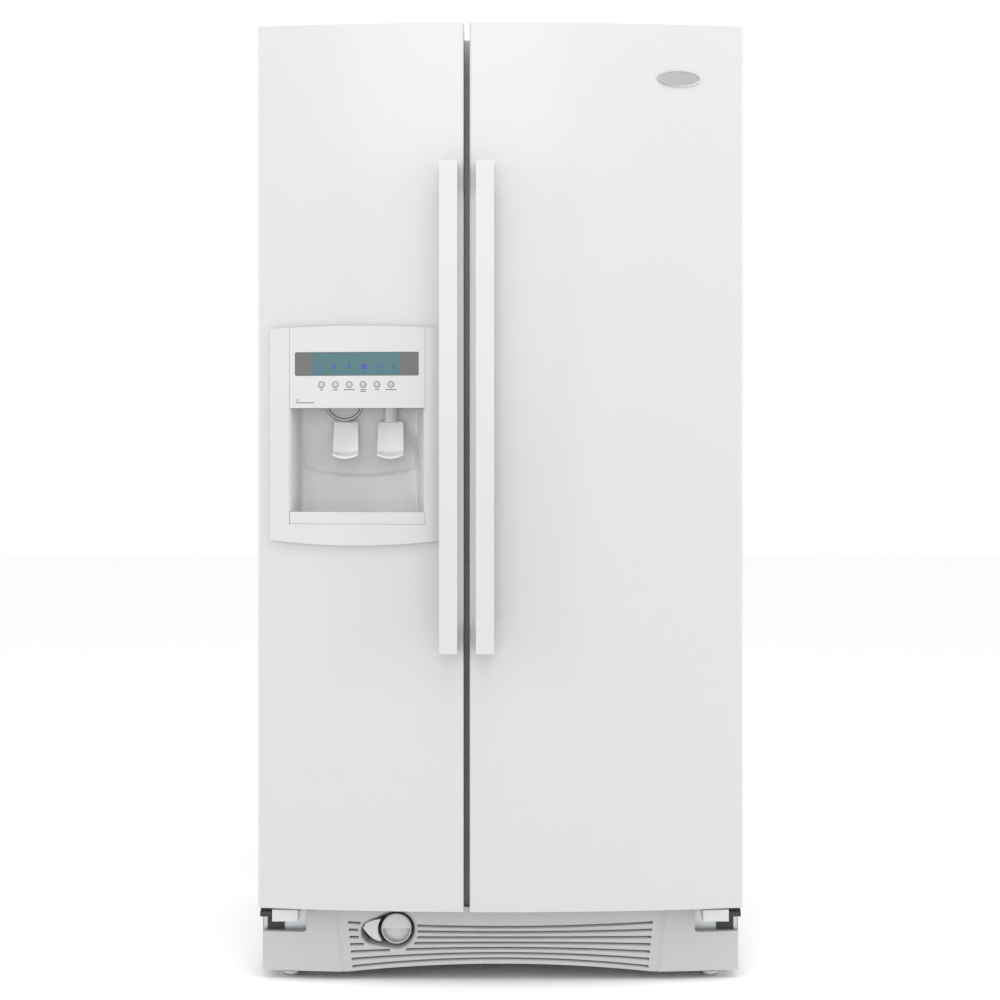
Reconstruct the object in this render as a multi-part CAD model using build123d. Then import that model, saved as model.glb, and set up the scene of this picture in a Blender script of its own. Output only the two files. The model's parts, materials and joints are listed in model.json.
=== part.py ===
from build123d import *

import os
from math import cos, radians, sin

# Side by side refrigerator with an ice and water dispenser, as an assembly of separate pieces.
# Millimetres, +X to the right of someone facing the doors, +Y to the back, +Z up.
# The origin is on the floor at the centre of the footprint.

# ---------------------------------------------------------------- driving dimensions
DEPTH = 845.0  # handle face to back panel
DOOR_HALF = 449.0  # half the width over both doors
DOOR_TOP, DOOR_BOTTOM = 1774.0, 143.0
BOW = 35.0  # how far the door fronts bulge at the middle
EDGE_THICK = 45.0  # door thickness at its outer side
FREEZER_DOOR_EDGE = -67.5  # latch edges of the doors, either side of the gap
FRIDGE_DOOR_EDGE = -56.6

CAB_HALF, CAB_TOP, CAB_BOTTOM = 447.0, 1761.0, 28.0
BACK = DEPTH / 2
CAB_FRONT = -277.5
SHEET = 1.0
DOOR_BACK = CAB_FRONT - 12.0
EDGE_FRONT = DOOR_BACK - EDGE_THICK
APEX = EDGE_FRONT - BOW
BOW_R = (DOOR_HALF**2 + BOW**2) / (2 * BOW)
HANDLE_FRONT = -BACK

DECK = 134.0  # underside of the floor deck
STEP_Y, STEP_Z = 250.0, 302.0  # the machine compartment is behind and below this step
STEP_FOAM, STEP_RISE = 25.0, 28.0  # foam between the step and the liners
CHASSIS_T, SILL, RUNNER_Z, TRAY_Z = 2.0, 66.0, 32.0, 62.0
LINER_T, GAP = 2.5, 0.3  # the liners' wall, and their clearance in the foam
LINER_BACK = 362.0
LINER_LOW, LINER_HIGH = 187.5, 1714.5
FREEZER_X = (-402.5, -81.5)  # outside of the freezer liner
FRIDGE_X = (-42.5, 404.5)

PIN_X, PIN_Y, PIN_R = 425.0, -312.0, 6.0  # door hinge axis
FRONT_LINE = -60.0  # front edge of the shelves and drawers
SHELF_BACK = 350.0
FRIDGE_SHELVES = (1470.0, 1220.0, 970.0, 640.0)  # top faces
FREEZER_SHELVES = (1160.0, 960.0, 760.0)
BIN_DEPTH, BIN_HEIGHT, BIN_T = 95.0, 90.0, 2.5
BIN_FRONT, BIN_LOW = -130.0, 1235.5  # the ice bin's front and underside
FREEZER_BINS = (240.0, 440.0, 640.0, 1480.0)
FRIDGE_BINS = (250.0, 480.0, 740.0, 1000.0, 1250.0, 1455.0)
DIKE, DIKE_DEPTH = 20.0, 60.0  # the raised rim inside each door

HANDLE_LOW, HANDLE_HIGH, HANDLE_W = 620.5, 1515.0, 33.0
HANDLE_X = {"freezer": -94.5, "fridge": -28.0}

BEZEL_X, BEZEL_Z = (-426.0, -110.5), (824.5, 1213.5)
BEZEL_RISE, BEZEL_DROP, BEZEL_PROUD = 5.0, 9.5, 10.0
WINDOW_X, WINDOW_Z = (-389.2, -137.8), (851.5, 1209.5)
PANEL_LOW = 1067.5
TRAY_LOW, TRAY_LIP = 855.0, 21.5
CAVITY_BACK = -277.5
DISPLAY_X, DISPLAY_Z = (-378.8, -149.4), (1126.5, 1170.5)
BUTTON_X0, BUTTON_PITCH, BUTTON_Z, BUTTON_R = -328.9, 25.66, 1110.5, 5.0
CHUTE_X, CHUTE_Y, CHUTE_Z, CHUTE_R, CHUTE_TILT = -290.0, -328.0, 1076.0, 34.5, 25.0
PADDLE_X = {"ice": -289.0, "water": -205.0}
PADDLE_Y, PADDLE_Z = -290.0, 1040.0  # paddle pivots

GRILLE_HALF, GRILLE_TOP, GRILLE_LOW = 446.0, 139.0, 16.0
GRILLE_FRONT, GRILLE_BOW, GRILLE_BACK, GRILLE_T = -290.0, 25.0, -279.0, 3.0
GRILLE_R = (GRILLE_HALF**2 + GRILLE_BOW**2) / (2 * GRILLE_BOW)
ARCH_HALF, ARCH_RISE = 285.0, 17.5
NOTCH_X, NOTCH_Z = 363.5, 88.8
SLOTS, SLOT_H = 7, 3.0
SLOT_MID = (102.2, 43.5)  # first and last slot height at the middle
SLOT_END = (108.4, 26.3)  # and at their ends
FILTER_X, FILTER_Z = -194.4, 96.0
KNOB_R, POCKET_R, LOBE_R = 28.0, 35.0, 22.5
LOBE_X, LOBE_Z = -238.0, 90.5

LEG_X, LEG_Y = 395.0, -256.0
ROLLER_X, ROLLER_Y, ROLLER_R = 405.0, 360.0, 22.0

PARTS = {}


# ---------------------------------------------------------------- helpers
def block(x0, x1, y0, y1, z0, z1):
    """A box between two corners."""
    low_x, low_y, low_z = min(x0, x1), min(y0, y1), min(z0, z1)
    size = (abs(x1 - x0), abs(y1 - y0), abs(z1 - z0))
    return Pos(low_x, low_y, low_z) * Box(*size, align=(Align.MIN, Align.MIN, Align.MIN))


def rod_x(x0, x1, y, z, r):
    """A round bar along X."""
    return Pos((x0 + x1) / 2, y, z) * Rot(0, 90, 0) * Cylinder(r, abs(x1 - x0))


def rod_y(x, y0, y1, z, r):
    """A round bar along Y."""
    return Pos(x, (y0 + y1) / 2, z) * Rot(90, 0, 0) * Cylinder(r, abs(y1 - y0))


def rod_z(x, y, z0, z1, r):
    """A round bar along Z."""
    return Pos(x, y, (z0 + z1) / 2) * Cylinder(r, abs(z1 - z0))


def along(shape, axis):
    """The straight edges of a shape that run along an axis."""
    return shape.edges().filter_by(axis)


def bow(offset, low=-10.0, high=1800.0):
    """The cylinder whose front is the door front, moved forwards by offset."""
    return rod_z(0, APEX + BOW_R, low, high, BOW_R + offset)


def bow_y(x, offset=0.0):
    """Where the door front is at x."""
    return APEX + BOW_R - ((BOW_R + offset) ** 2 - x**2) ** 0.5


def facing(sketch, y0, y1):
    """A sketch drawn with X and Z, made solid from y0 back to y1."""
    return Pos(0, y1, 0) * extrude(Plane.XZ * sketch, y1 - y0)


def open_box(x, y, z, wall, radius=0.0):
    """A tub with an open top."""
    body = block(*x, *y, *z)
    hole = block(x[0] + wall, x[1] - wall, y[0] + wall, y[1] - wall, z[0] + wall, z[1] + 1)
    if radius:
        body = fillet(along(body, Axis.Z), radius + wall)
        hole = fillet(along(hole, Axis.Z), radius)
    return body - hole


def group(shapes):
    """Separate solids that share one node."""
    return Compound(children=list(shapes))


def both(shape):
    """A shape and its mirror image on the other side of the cabinet."""
    return [shape, mirror(shape, Plane.YZ)]


# ---------------------------------------------------------------- cabinet
def liner_hull(x, grow=0.0, front=CAB_FRONT):
    """Outer shape of a food liner, stepped over the machine compartment."""
    low, high = LINER_LOW - grow, LINER_HIGH + grow
    body = block(x[0] - grow, x[1] + grow, front, LINER_BACK + grow, low, high)
    body = fillet(along(body, Axis.Y), 20.0 + grow)
    return body - block(-500, 500, STEP_Y - STEP_FOAM + grow, 500, 0, STEP_Z + STEP_RISE - grow)


def shelf_ribs(x, tops, back=SHELF_BACK - 5):
    """Ledges on both side walls of a liner, under each shelf."""
    inner = (x[0] + LINER_T, x[1] - LINER_T)
    ribs = []
    for top in tops:
        ribs.append(block(inner[0] - 1, inner[0] + 8, FRONT_LINE, back, top - 8, top))
        ribs.append(block(inner[1] - 8, inner[1] + 1, FRONT_LINE, back, top - 8, top))
    return ribs


def liner(x, rib_tops, back=SHELF_BACK - 5):
    """A thermoformed food liner with its shelf ledges."""
    shell = liner_hull(x) - liner_hull(x, -LINER_T, CAB_FRONT - 1)
    for rib in shelf_ribs(x, rib_tops, back):
        shell += rib
    return shell


def make_cabinet():
    outer = block(-CAB_HALF, CAB_HALF, CAB_FRONT, BACK - SHEET, CAB_BOTTOM, CAB_TOP)
    outer = fillet(along(outer, Axis.Y).group_by(Axis.Z)[-1], 8.0)
    side, top = CAB_HALF - SHEET, CAB_TOP - SHEET
    inner = block(-side, side, CAB_FRONT + SHEET, BACK, 0, top)
    inner = fillet(along(inner, Axis.Y).group_by(Axis.Z)[-1], 7.0)
    shell = outer - inner
    for x in (FREEZER_X, FRIDGE_X):
        shell -= liner_hull(x, 0.1, CAB_FRONT - 1)
    shell -= block(-side, side, CAB_FRONT - 1, CAB_FRONT + 2, 0, DECK + 2)
    PARTS["cabinet_shell"] = shell

    PARTS["back_panel"] = block(-CAB_HALF, CAB_HALF, BACK - SHEET, BACK, STEP_Z + 1, CAB_TOP)

    shelf_bottoms = [top_z - 14 for top_z in FRIDGE_SHELVES] + [412.0]
    fridge = liner(FRIDGE_X, shelf_bottoms, 280.0)
    for x0 in (-20.0, 372.0):
        fridge += block(x0, x0 + 10, -100, 200, LINER_LOW + 1, 199.5)
    PARTS["fridge_liner"] = fridge
    freezer_ledges = [top_z - 8 for top_z in FREEZER_SHELVES] + [345.0, 1235.0]
    PARTS["freezer_liner"] = liner(FREEZER_X, freezer_ledges, 285.0)


def make_foam():
    """The foam between the cabinet and its liners, as one block for each stretch of wall."""
    side, top = CAB_HALF - SHEET - 0.5, CAB_TOP - SHEET - 0.5
    front, back = CAB_FRONT + 1.5, BACK - 1.5
    low, floor, ceiling = DECK + 2.5, LINER_LOW - GAP, LINER_HIGH + GAP
    rear, riser, ledge = LINER_BACK + GAP, STEP_Y - STEP_FOAM + GAP, STEP_Z + STEP_RISE - GAP
    lid = block(-side, side, front, back, ceiling, top)
    blocks = [
        fillet(along(lid, Axis.Y).group_by(Axis.Z)[-1], 9.0),
        block(-side, side, front, riser, low, floor),
        block(-side, side, riser, STEP_Y - 0.5, low, ledge),
        block(-side, side, STEP_Y - 0.5, back, STEP_Z + 0.5, ledge),
        block(-side, side, rear, back, ledge, ceiling),
    ]
    divider = (FREEZER_X[1] + GAP, FRIDGE_X[0] - GAP)
    walls = [(-side, FREEZER_X[0] - GAP), divider, (FRIDGE_X[1] + GAP, side)]
    for wall in walls:
        blocks.append(block(*wall, front, riser, floor, ledge))
        blocks.append(block(*wall, front, rear, ledge, ceiling))
    PARTS["foam_insulation"] = group(blocks)


def make_base():
    """The chassis of folded sheets, the levelling legs and the rear rollers."""
    side, front, back = CAB_HALF - SHEET - 0.5, CAB_FRONT + 1.5, BACK - 2.0
    t, inner = CHASSIS_T, side - CHASSIS_T
    filter_hole = rod_y(FILTER_X, front - 5, front + 45, FILTER_Z, 31)
    rail = block(-inner, inner, front, front + t, SILL + t, DECK)
    sill = block(-inner, inner, front, front + 40, SILL, SILL + t)
    for x in (-LEG_X, LEG_X):
        sill -= rod_z(x, LEG_Y, SILL - 5, SILL + 5, 5.4)
    sheets = [
        rail - filter_hole,
        sill - filter_hole,
        block(-side, side, front, STEP_Y + t, DECK, DECK + t),
        block(-side, side, STEP_Y, STEP_Y + t, DECK + t, STEP_Z - t),
        block(-side, side, STEP_Y, back, STEP_Z - t, STEP_Z),
        block(-inner, inner, STEP_Y + 5, back, TRAY_Z - t, TRAY_Z),
    ]
    for s in (-1, 1):
        sheets.append(block(s * side, s * inner, front, back, RUNNER_Z + t, DECK))
        sheets.append(block(s * side, s * (side - 25), front, back, RUNNER_Z, RUNNER_Z + t))
        hanger = rod_x(s * (ROLLER_X - 14), s * (ROLLER_X + 14), ROLLER_Y, ROLLER_R, 5)
        for x in (ROLLER_X - 14, ROLLER_X + 12):
            hanger += block(s * x, s * (x + t), ROLLER_Y - 14, ROLLER_Y + 14, 14, TRAY_Z - t)
        sheets.append(hanger)
    PARTS["base_frame"] = group(sheets)

    for name, s in (("left", -1), ("right", 1)):
        leg = rod_z(s * LEG_X, LEG_Y, 0, 8, 17) + rod_z(s * LEG_X, LEG_Y, 7, 112, 5)
        leg += extrude(Pos(s * LEG_X, LEG_Y, 8) * RegularPolygon(9, 6), 7)
        PARTS[f"levelling_leg_{name}"] = leg
    rollers = []
    for s in (-1, 1):
        x0, x1 = s * (ROLLER_X - 11), s * (ROLLER_X + 11)
        wheel = rod_x(x0, x1, ROLLER_Y, ROLLER_R, ROLLER_R)
        wheel = fillet(wheel.edges().filter_by(GeomType.CIRCLE), 2.0)
        rollers.append(wheel - rod_x(x0, x1, ROLLER_Y, ROLLER_R, 5.1))
    PARTS["rear_rollers"] = group(rollers)


def hull_shape(u0, v0, r0, u1, v1, r1):
    """The sketch of two circles and the band between them."""
    return make_hull((Pos(u0, v0) * Circle(r0) + Pos(u1, v1) * Circle(r1)).edges())


def drop_shape(grow=0.0):
    """The tear-drop round the filter knob and its eject button, as a sketch."""
    return hull_shape(FILTER_X, FILTER_Z, POCKET_R + grow, LOBE_X, LOBE_Z, LOBE_R + grow)


def slot_cut(index):
    """One long curved air slot of the grille."""
    share = index / (SLOTS - 1)
    mid = SLOT_MID[0] + (SLOT_MID[1] - SLOT_MID[0]) * share
    end = SLOT_END[0] + (SLOT_END[1] - SLOT_END[0]) * share
    half = ARCH_HALF - 1.0 - 8.0 * share
    h = SLOT_H / 2
    upper = ThreePointArc((-half, end + h), (0, mid + h), (half, end + h))
    lower = ThreePointArc((-half, end - h), (0, mid - h), (half, end - h))
    sides = [Line(upper @ 0, lower @ 0), Line(upper @ 1, lower @ 1)]
    return facing(make_face([upper, lower, *sides]), GRILLE_FRONT - 40, GRILLE_BACK)


def grille_bow(offset):
    return rod_z(0, GRILLE_FRONT - GRILLE_BOW + GRILLE_R, -20, 160, GRILLE_R + offset)


def make_grille():
    half, t = GRILLE_HALF, GRILLE_T
    front = GRILLE_FRONT - GRILLE_BOW - 5
    body = block(-half, half, front, GRILLE_BACK, GRILLE_LOW, GRILLE_TOP)
    body = fillet(along(body, Axis.Y).group_by(Axis.Z)[0], 5.0)
    hollow = block(-half + t, half - t, front, GRILLE_BACK + 1, -5, GRILLE_TOP - t)
    grille = (body & grille_bow(0)) - (hollow & grille_bow(-t))
    for s in (-1, 1):
        corner = block(s * (NOTCH_X - 2.5), s * half, front, GRILLE_BACK, NOTCH_Z - 2.5, GRILLE_TOP)
        grille += corner & grille_bow(-0.5)
        grille -= block(s * NOTCH_X, s * (half + 1), front, 0, NOTCH_Z, GRILLE_TOP + 1)
    arch = ThreePointArc((-ARCH_HALF, GRILLE_LOW), (0, GRILLE_LOW + ARCH_RISE), (ARCH_HALF, GRILLE_LOW))
    base = [Line(arch @ 1, (ARCH_HALF, -20)), Line((ARCH_HALF, -20), (-ARCH_HALF, -20))]
    base.append(Line((-ARCH_HALF, -20), arch @ 0))
    grille -= facing(make_face([arch, *base]), front, 0)

    island = facing(drop_shape(6), front, 0)
    for index in range(SLOTS):
        grille -= slot_cut(index) - island
    wall = facing(drop_shape(2), front, GRILLE_BACK - 1)
    grille += wall & grille_bow(-0.5)
    grille -= facing(drop_shape(), front, GRILLE_BACK - 4)
    grille -= rod_y(FILTER_X, GRILLE_BACK - 10, GRILLE_BACK + 5, FILTER_Z, 30)
    PARTS["base_grille"] = grille


def make_filter():
    back = -25.0
    tube = rod_y(FILTER_X, -272, back, FILTER_Z, 28.5) - rod_y(FILTER_X, -273, back - 3, FILTER_Z, 25.5)
    PARTS["filter_housing"] = tube
    cartridge = rod_y(FILTER_X, -283.7, -40, FILTER_Z, 24)
    cartridge += rod_y(FILTER_X, -41, -31, FILTER_Z, 14)
    PARTS["water_filter"] = cartridge

    face = GRILLE_FRONT - 13.0
    knob = rod_y(FILTER_X, face, -284, FILTER_Z, KNOB_R)
    hollow = rod_y(FILTER_X, face - 1, face + 11, FILTER_Z, KNOB_R - 2.5)
    PARTS["filter_cap"] = knob - (hollow & block(-500, 500, -400, 0, 0, FILTER_Z))

    ring, low, high = KNOB_R + 6.5, FILTER_Z - 22, FILTER_Z + 19
    tip_x = FILTER_X - (ring**2 - (FILTER_Z - low) ** 2) ** 0.5
    top_x = FILTER_X - (ring**2 - (high - FILTER_Z) ** 2) ** 0.5
    left = LOBE_X - LOBE_R
    under = ThreePointArc((left + 4, LOBE_Z + 8), (left + 11.5, LOBE_Z - 8), (tip_x, low))
    beside = ThreePointArc((tip_x, low), (FILTER_X - ring, FILTER_Z), (top_x, high))
    above = ThreePointArc((top_x, high), (LOBE_X, LOBE_Z + 21), (left + 10.5, LOBE_Z + 18))
    shape = make_face([under, beside, above, Line(above @ 1, under @ 0)])
    PARTS["filter_button"] = facing(shape, GRILLE_FRONT - 30, GRILLE_BACK - 10) & grille_bow(-0.3)


# ---------------------------------------------------------------- hinges
def make_hinges():
    upper = extrude(hull_shape(PIN_X, PIN_Y, 11, PIN_X - 30, PIN_Y + 42, 14), 3)
    upper = Pos(0, 0, CAB_TOP + 0.2) * upper
    upper += block(373, 437, CAB_FRONT + 2, CAB_FRONT + 95, CAB_TOP + 0.2, CAB_TOP + 3.2)
    upper += rod_z(PIN_X, PIN_Y, CAB_TOP - 24, CAB_TOP + 1, PIN_R)

    leaf_low, leaf_high = 134.2, 138.2
    lower = block(400, 445.4, -326, CAB_FRONT - 0.2, leaf_low, leaf_high)
    lower += block(406, 438, CAB_FRONT - 2, CAB_FRONT + 1.2, NOTCH_Z + 1, leaf_low + 1)
    lower += block(424, 445.4, -332, -300, 126, leaf_low + 1)
    lower += rod_z(PIN_X, PIN_Y, leaf_low, 160, PIN_R)
    lower += rod_z(PIN_X, PIN_Y, leaf_low, DOOR_BOTTOM - 0.8, 10)
    PARTS["door_hinges"] = group(both(upper) + both(lower))

    back = CAB_FRONT + 108
    cap = block(368, 442, CAB_FRONT + 1.5, back, CAB_TOP + 0.2, DOOR_TOP - 0.5)
    cap = fillet(cap.edges().group_by(Axis.Z)[-1], 4.0)
    cap -= block(370, 440, CAB_FRONT - 5, back - 2, CAB_TOP, DOOR_TOP - 2.5)
    skirt = block(375, 422.5, -338, -327, 118, 140)
    skirt = fillet(skirt.edges().group_by(Axis.Y)[0], 1.5)
    skirt += block(375, 422.5, -327.5, -300, 118, 133.5) - block(423, 450, -340, -299, 100, 150)
    PARTS["hinge_covers"] = group(both(cap) + both(skirt))


# ---------------------------------------------------------------- doors
def door_blank(x, inset, offset, round_r):
    """A door's body with its bowed front, shrunk by inset and offset."""
    body = block(x[0] + inset, x[1] - inset, -420, DOOR_BACK, DOOR_BOTTOM + inset, DOOR_TOP - inset)
    body &= bow(-offset)
    front = [e for e in along(body, Axis.Z) if e.center().Y < DOOR_BACK - 5]
    return fillet(front, round_r)


def hinge_room(side):
    """Space for the upper hinge leaf, cut into the top of a door."""
    outer, inner = side * (DOOR_HALF + 1), side * (PIN_X - 52)
    return block(outer, inner, PIN_Y - 19, DOOR_BACK + 1, CAB_TOP - 3, DOOR_TOP + 1)


def make_door(name, x, side, dike_x, bins):
    skin = door_blank(x, 0, 0, 5.0) - door_blank(x, SHEET, SHEET, 4.0)
    opening_z = (DOOR_BOTTOM + SHEET, DOOR_TOP - SHEET)
    skin -= block(x[0] + SHEET, x[1] - SHEET, DOOR_BACK - 3, DOOR_BACK + 1, *opening_z)
    skin -= hinge_room(side)
    skin -= rod_z(side * PIN_X, PIN_Y, DOOR_BOTTOM - 5, DOOR_BOTTOM + 10, PIN_R + 1)

    core = door_blank(x, SHEET + 0.2, SHEET + 0.2, 3.8)
    core -= hinge_room(side)
    core -= rod_z(side * PIN_X, PIN_Y, DOOR_BOTTOM, 165, PIN_R + 0.3)
    core -= rod_z(side * PIN_X, PIN_Y, CAB_TOP - 28, DOOR_TOP, PIN_R + 0.3)

    x0, x1 = dike_x[0] + DIKE + 1, dike_x[1] - DIKE - 1
    y = (DOOR_BACK + 0.5, DOOR_BACK + 0.5 + BIN_DEPTH)
    PARTS[f"{name}_door_bins"] = group(door_bin((x0, x1), y, z) for z in bins)
    return skin, core


def dike_bars(x):
    """The raised rim on a door's inner side, as four bars face to face."""
    low, high, y = LINER_LOW + 17, LINER_HIGH - 17, (DOOR_BACK, DOOR_BACK + DIKE_DEPTH)
    bars = []
    for outer, inner in ((x[0], x[0] + DIKE), (x[1], x[1] - DIKE)):
        bar = block(outer, inner, *y, low, high)
        corners = [e for e in along(bar, Axis.Y) if abs(e.center().X - outer) < 1]
        bars.append(fillet(corners, 14.0))
    for z in ((low, low + DIKE), (high - DIKE, high)):
        bars.append(block(x[0] + DIKE, x[1] - DIKE, *y, *z))
    return bars


def door_bin(x, y, z):
    """A door bin with a low rail front."""
    tub = open_box(x, y, (z, z + BIN_HEIGHT), BIN_T, 8.0)
    return tub - block(x[0] - 1, x[1] + 1, y[0] - 1, y[0] + 30, z + BIN_HEIGHT - 25, z + 999)


def gasket(x, z=(172.0, 1730.0), width=16.0):
    y = (DOOR_BACK + 0.2, CAB_FRONT - 0.5)
    ring = fillet(along(block(*x, *y, *z), Axis.Y), 6.0)
    hole = block(x[0] + width, x[1] - width, y[0] - 1, y[1] + 1, z[0] + width, z[1] - width)
    return ring - fillet(along(hole, Axis.Y), 4.0)


def handle(x):
    """A square-edged bar on two end posts that meet the bowed door."""
    x0, x1 = x - HANDLE_W / 2, x + HANDLE_W / 2
    bar = block(x0, x1, HANDLE_FRONT, APEX + 10, HANDLE_LOW, HANDLE_HIGH)
    finger = block(x0 - 1, x1 + 1, HANDLE_FRONT + 19, APEX + 20, HANDLE_LOW + 52, HANDLE_HIGH - 52)
    finger = fillet(along(finger, Axis.X).group_by(Axis.Y)[0], 12.0)
    bar = fillet(along(bar, Axis.Z).group_by(Axis.Y)[0], 5.0)
    ends = bar.edges().filter_by(lambda e: e.bounding_box().size.Z < 0.01)
    bar = fillet([e for e in ends if e.center().Y < HANDLE_FRONT + 6], 2.0)
    return bar - finger - bow(0.2)


def make_fridge_door():
    x = (FRIDGE_DOOR_EDGE, DOOR_HALF)
    dike_x = (-24.0, 388.0)
    skin, core = make_door("fridge", x, 1, dike_x, FRIDGE_BINS)
    pivot_y, pivot_z = DOOR_BACK + 8, 1588.0
    x0, x1 = dike_x[0] + DIKE, dike_x[1] - DIKE
    bore = rod_x(x0 - 8, x1 + 8, pivot_y, pivot_z, 3.2)
    PARTS["fridge_door_skin"] = skin
    PARTS["fridge_door_liner"] = group([core] + [bar - bore for bar in dike_bars(dike_x)])
    PARTS["fridge_door_gasket"] = gasket((-55.0, 420.0))
    PARTS["fridge_handle"] = handle(HANDLE_X["fridge"])

    front = DOOR_BACK + BIN_DEPTH + 6
    cover = block(x0 + 3, x1 - 3, pivot_y + 5, front, pivot_z, pivot_z + 2.5)
    cover += block(x0 + 3, x1 - 3, front - 2.5, front, 1520, pivot_z + 2.5)
    cover = fillet(along(cover, Axis.X).group_by(Axis.Y)[-1].group_by(Axis.Z)[-1], 2.4)
    for end in (x0 + 3, x1 - 8):
        cover += block(end, end + 5, pivot_y, front - 1, pivot_z - 3, pivot_z + 1)
        cover += rod_x(end, end + 5, pivot_y, pivot_z, 4.5)
    cover += rod_x(x0 - 5, x0 + 4, pivot_y, pivot_z, 3)
    cover += rod_x(x1 - 4, x1 + 5, pivot_y, pivot_z, 3)
    PARTS["dairy_cover"] = cover

    plate = facing(Pos(328.4, 1674) * Ellipse(39.5, 14.5), -400, -300)
    PARTS["badge"] = plate & (bow(3.2) - bow(0.2))


# ---------------------------------------------------------------- dispenser
def bezel_face():
    """Outline of the dispenser surround, bulging at its top and bottom."""
    (x0, x1), (z0, z1) = BEZEL_X, BEZEL_Z
    mid = (x0 + x1) / 2
    top = ThreePointArc((x0, z1), (mid, z1 + BEZEL_RISE), (x1, z1))
    low = ThreePointArc((x0, z0), (mid, z0 - BEZEL_DROP), (x1, z0))
    return make_face([top, low, Line(top @ 0, low @ 0), Line(top @ 1, low @ 1)])


def chute_frame(back):
    """A place on the chute's axis, that far behind its mouth, with Z along the axis."""
    tilt = radians(CHUTE_TILT)
    centre = (CHUTE_X, CHUTE_Y + back * cos(tilt), CHUTE_Z + back * sin(tilt))
    return Plane(centre, x_dir=(1, 0, 0), z_dir=(0, cos(tilt), sin(tilt)))


def chute_rod(start, end, r):
    return extrude(chute_frame(start) * Circle(r), end - start)


def make_paddle(x, width):
    """A press paddle on a barrel that turns on the recess's pin."""
    top, low, half = PADDLE_Z - 6.5, PADDLE_Z - 66, width / 2
    edge = ThreePointArc((x - half, low + 7), (x, low), (x + half, low + 7))
    upper = [(x - half + 2, top), (x + half - 2, top)]
    sides = [Line(edge @ 0, upper[0]), Line(*upper), Line(upper[1], edge @ 1)]
    plate = facing(make_face([edge, *sides]), PADDLE_Y - 6, PADDLE_Y - 3)
    lip = facing(make_face([edge, *sides]), PADDLE_Y - 12, PADDLE_Y - 5)
    inner = ThreePointArc((x - half - 1, low + 13), (x, low + 6), (x + half + 1, low + 13))
    lid = [(x + half + 1, top + 5), (x - half - 1, top + 5)]
    above = [Line(inner @ 1, lid[0]), Line(*lid), Line(lid[1], inner @ 0)]
    lip -= facing(make_face([inner, *above]), PADDLE_Y - 20, PADDLE_Y)
    paddle = plate + lip + block(x - 9, x + 9, PADDLE_Y - 6, PADDLE_Y + 3, top - 8, PADDLE_Z)
    paddle += rod_x(x - 9, x + 9, PADDLE_Y, PADDLE_Z, 5)
    paddle = Pos(0, PADDLE_Y, PADDLE_Z) * Rot(-14, 0, 0) * Pos(0, -PADDLE_Y, -PADDLE_Z) * paddle
    return paddle - rod_x(x - 10, x + 10, PADDLE_Y, PADDLE_Z, 2.6)


def make_recess():
    """The tub that holds the glass, with paddle pivots, water nozzle and back ledge."""
    x0, x1 = WINDOW_X[0] + 0.4, WINDOW_X[1] - 0.4
    z0, z1, t = WINDOW_Z[0] + 0.5, WINDOW_Z[1] - 3.0, 2.5
    tub = block(x0, x1, -400, CAVITY_BACK + 3, z0, z1)
    tub = fillet(along(tub, Axis.Z).group_by(Axis.Y)[-1], 30.0)
    hole = block(x0 + t, x1 - t, -401, CAVITY_BACK, z0 + t, z1 - t)
    hole = fillet(along(hole, Axis.Z).group_by(Axis.Y)[-1], 28.0)
    tub -= hole - block(x0, x1, -400, CAVITY_BACK + 1, PANEL_LOW + 1.5, PANEL_LOW + 4)
    ledge_x = (x0 + 18, x1 - 18)
    mid = sum(ledge_x) / 2
    arc = ThreePointArc((ledge_x[0], 956), (mid, 943), (ledge_x[1], 950))
    floor = [Line(arc @ 1, (ledge_x[1], z0 + 1)), Line((ledge_x[1], z0 + 1), (ledge_x[0], z0 + 1))]
    floor.append(Line((ledge_x[0], z0 + 1), arc @ 0))
    ledge = facing(make_face([arc, *floor]), CAVITY_BACK - 3.5, CAVITY_BACK + 1)
    tub += ledge & (hole + block(x0, x1, CAVITY_BACK - 0.1, CAVITY_BACK + 2, z0, z1))
    for x in PADDLE_X.values():
        for ear in (x - 15, x + 12):
            tub += block(ear, ear + 3, PADDLE_Y - 5, CAVITY_BACK + 1, PADDLE_Z - 3.5, PADDLE_Z + 5)
        tub += rod_x(x - 14, x + 14, PADDLE_Y, PADDLE_Z, 2.5)
    water = PADDLE_X["water"]
    tub += block(water - 12, water + 12, -312, CAVITY_BACK + 1, PADDLE_Z + 8, PANEL_LOW + 4)
    tub -= rod_z(water, -300, PADDLE_Z, PANEL_LOW, 4)
    low_front = block(x0 - 1, x1 + 1, -420, -100, z0 - 1, TRAY_LOW + TRAY_LIP + 1)
    top_front = block(x0 - 1, x1 + 1, -420, -100, PANEL_LOW - 0.5, z1 + 1)
    tub = (tub & bow(7.5)) - (low_front - bow(2.5)) - (top_front - bow(0.5))
    return tub - chute_rod(-5, 90, CHUTE_R + 0.7)


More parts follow.
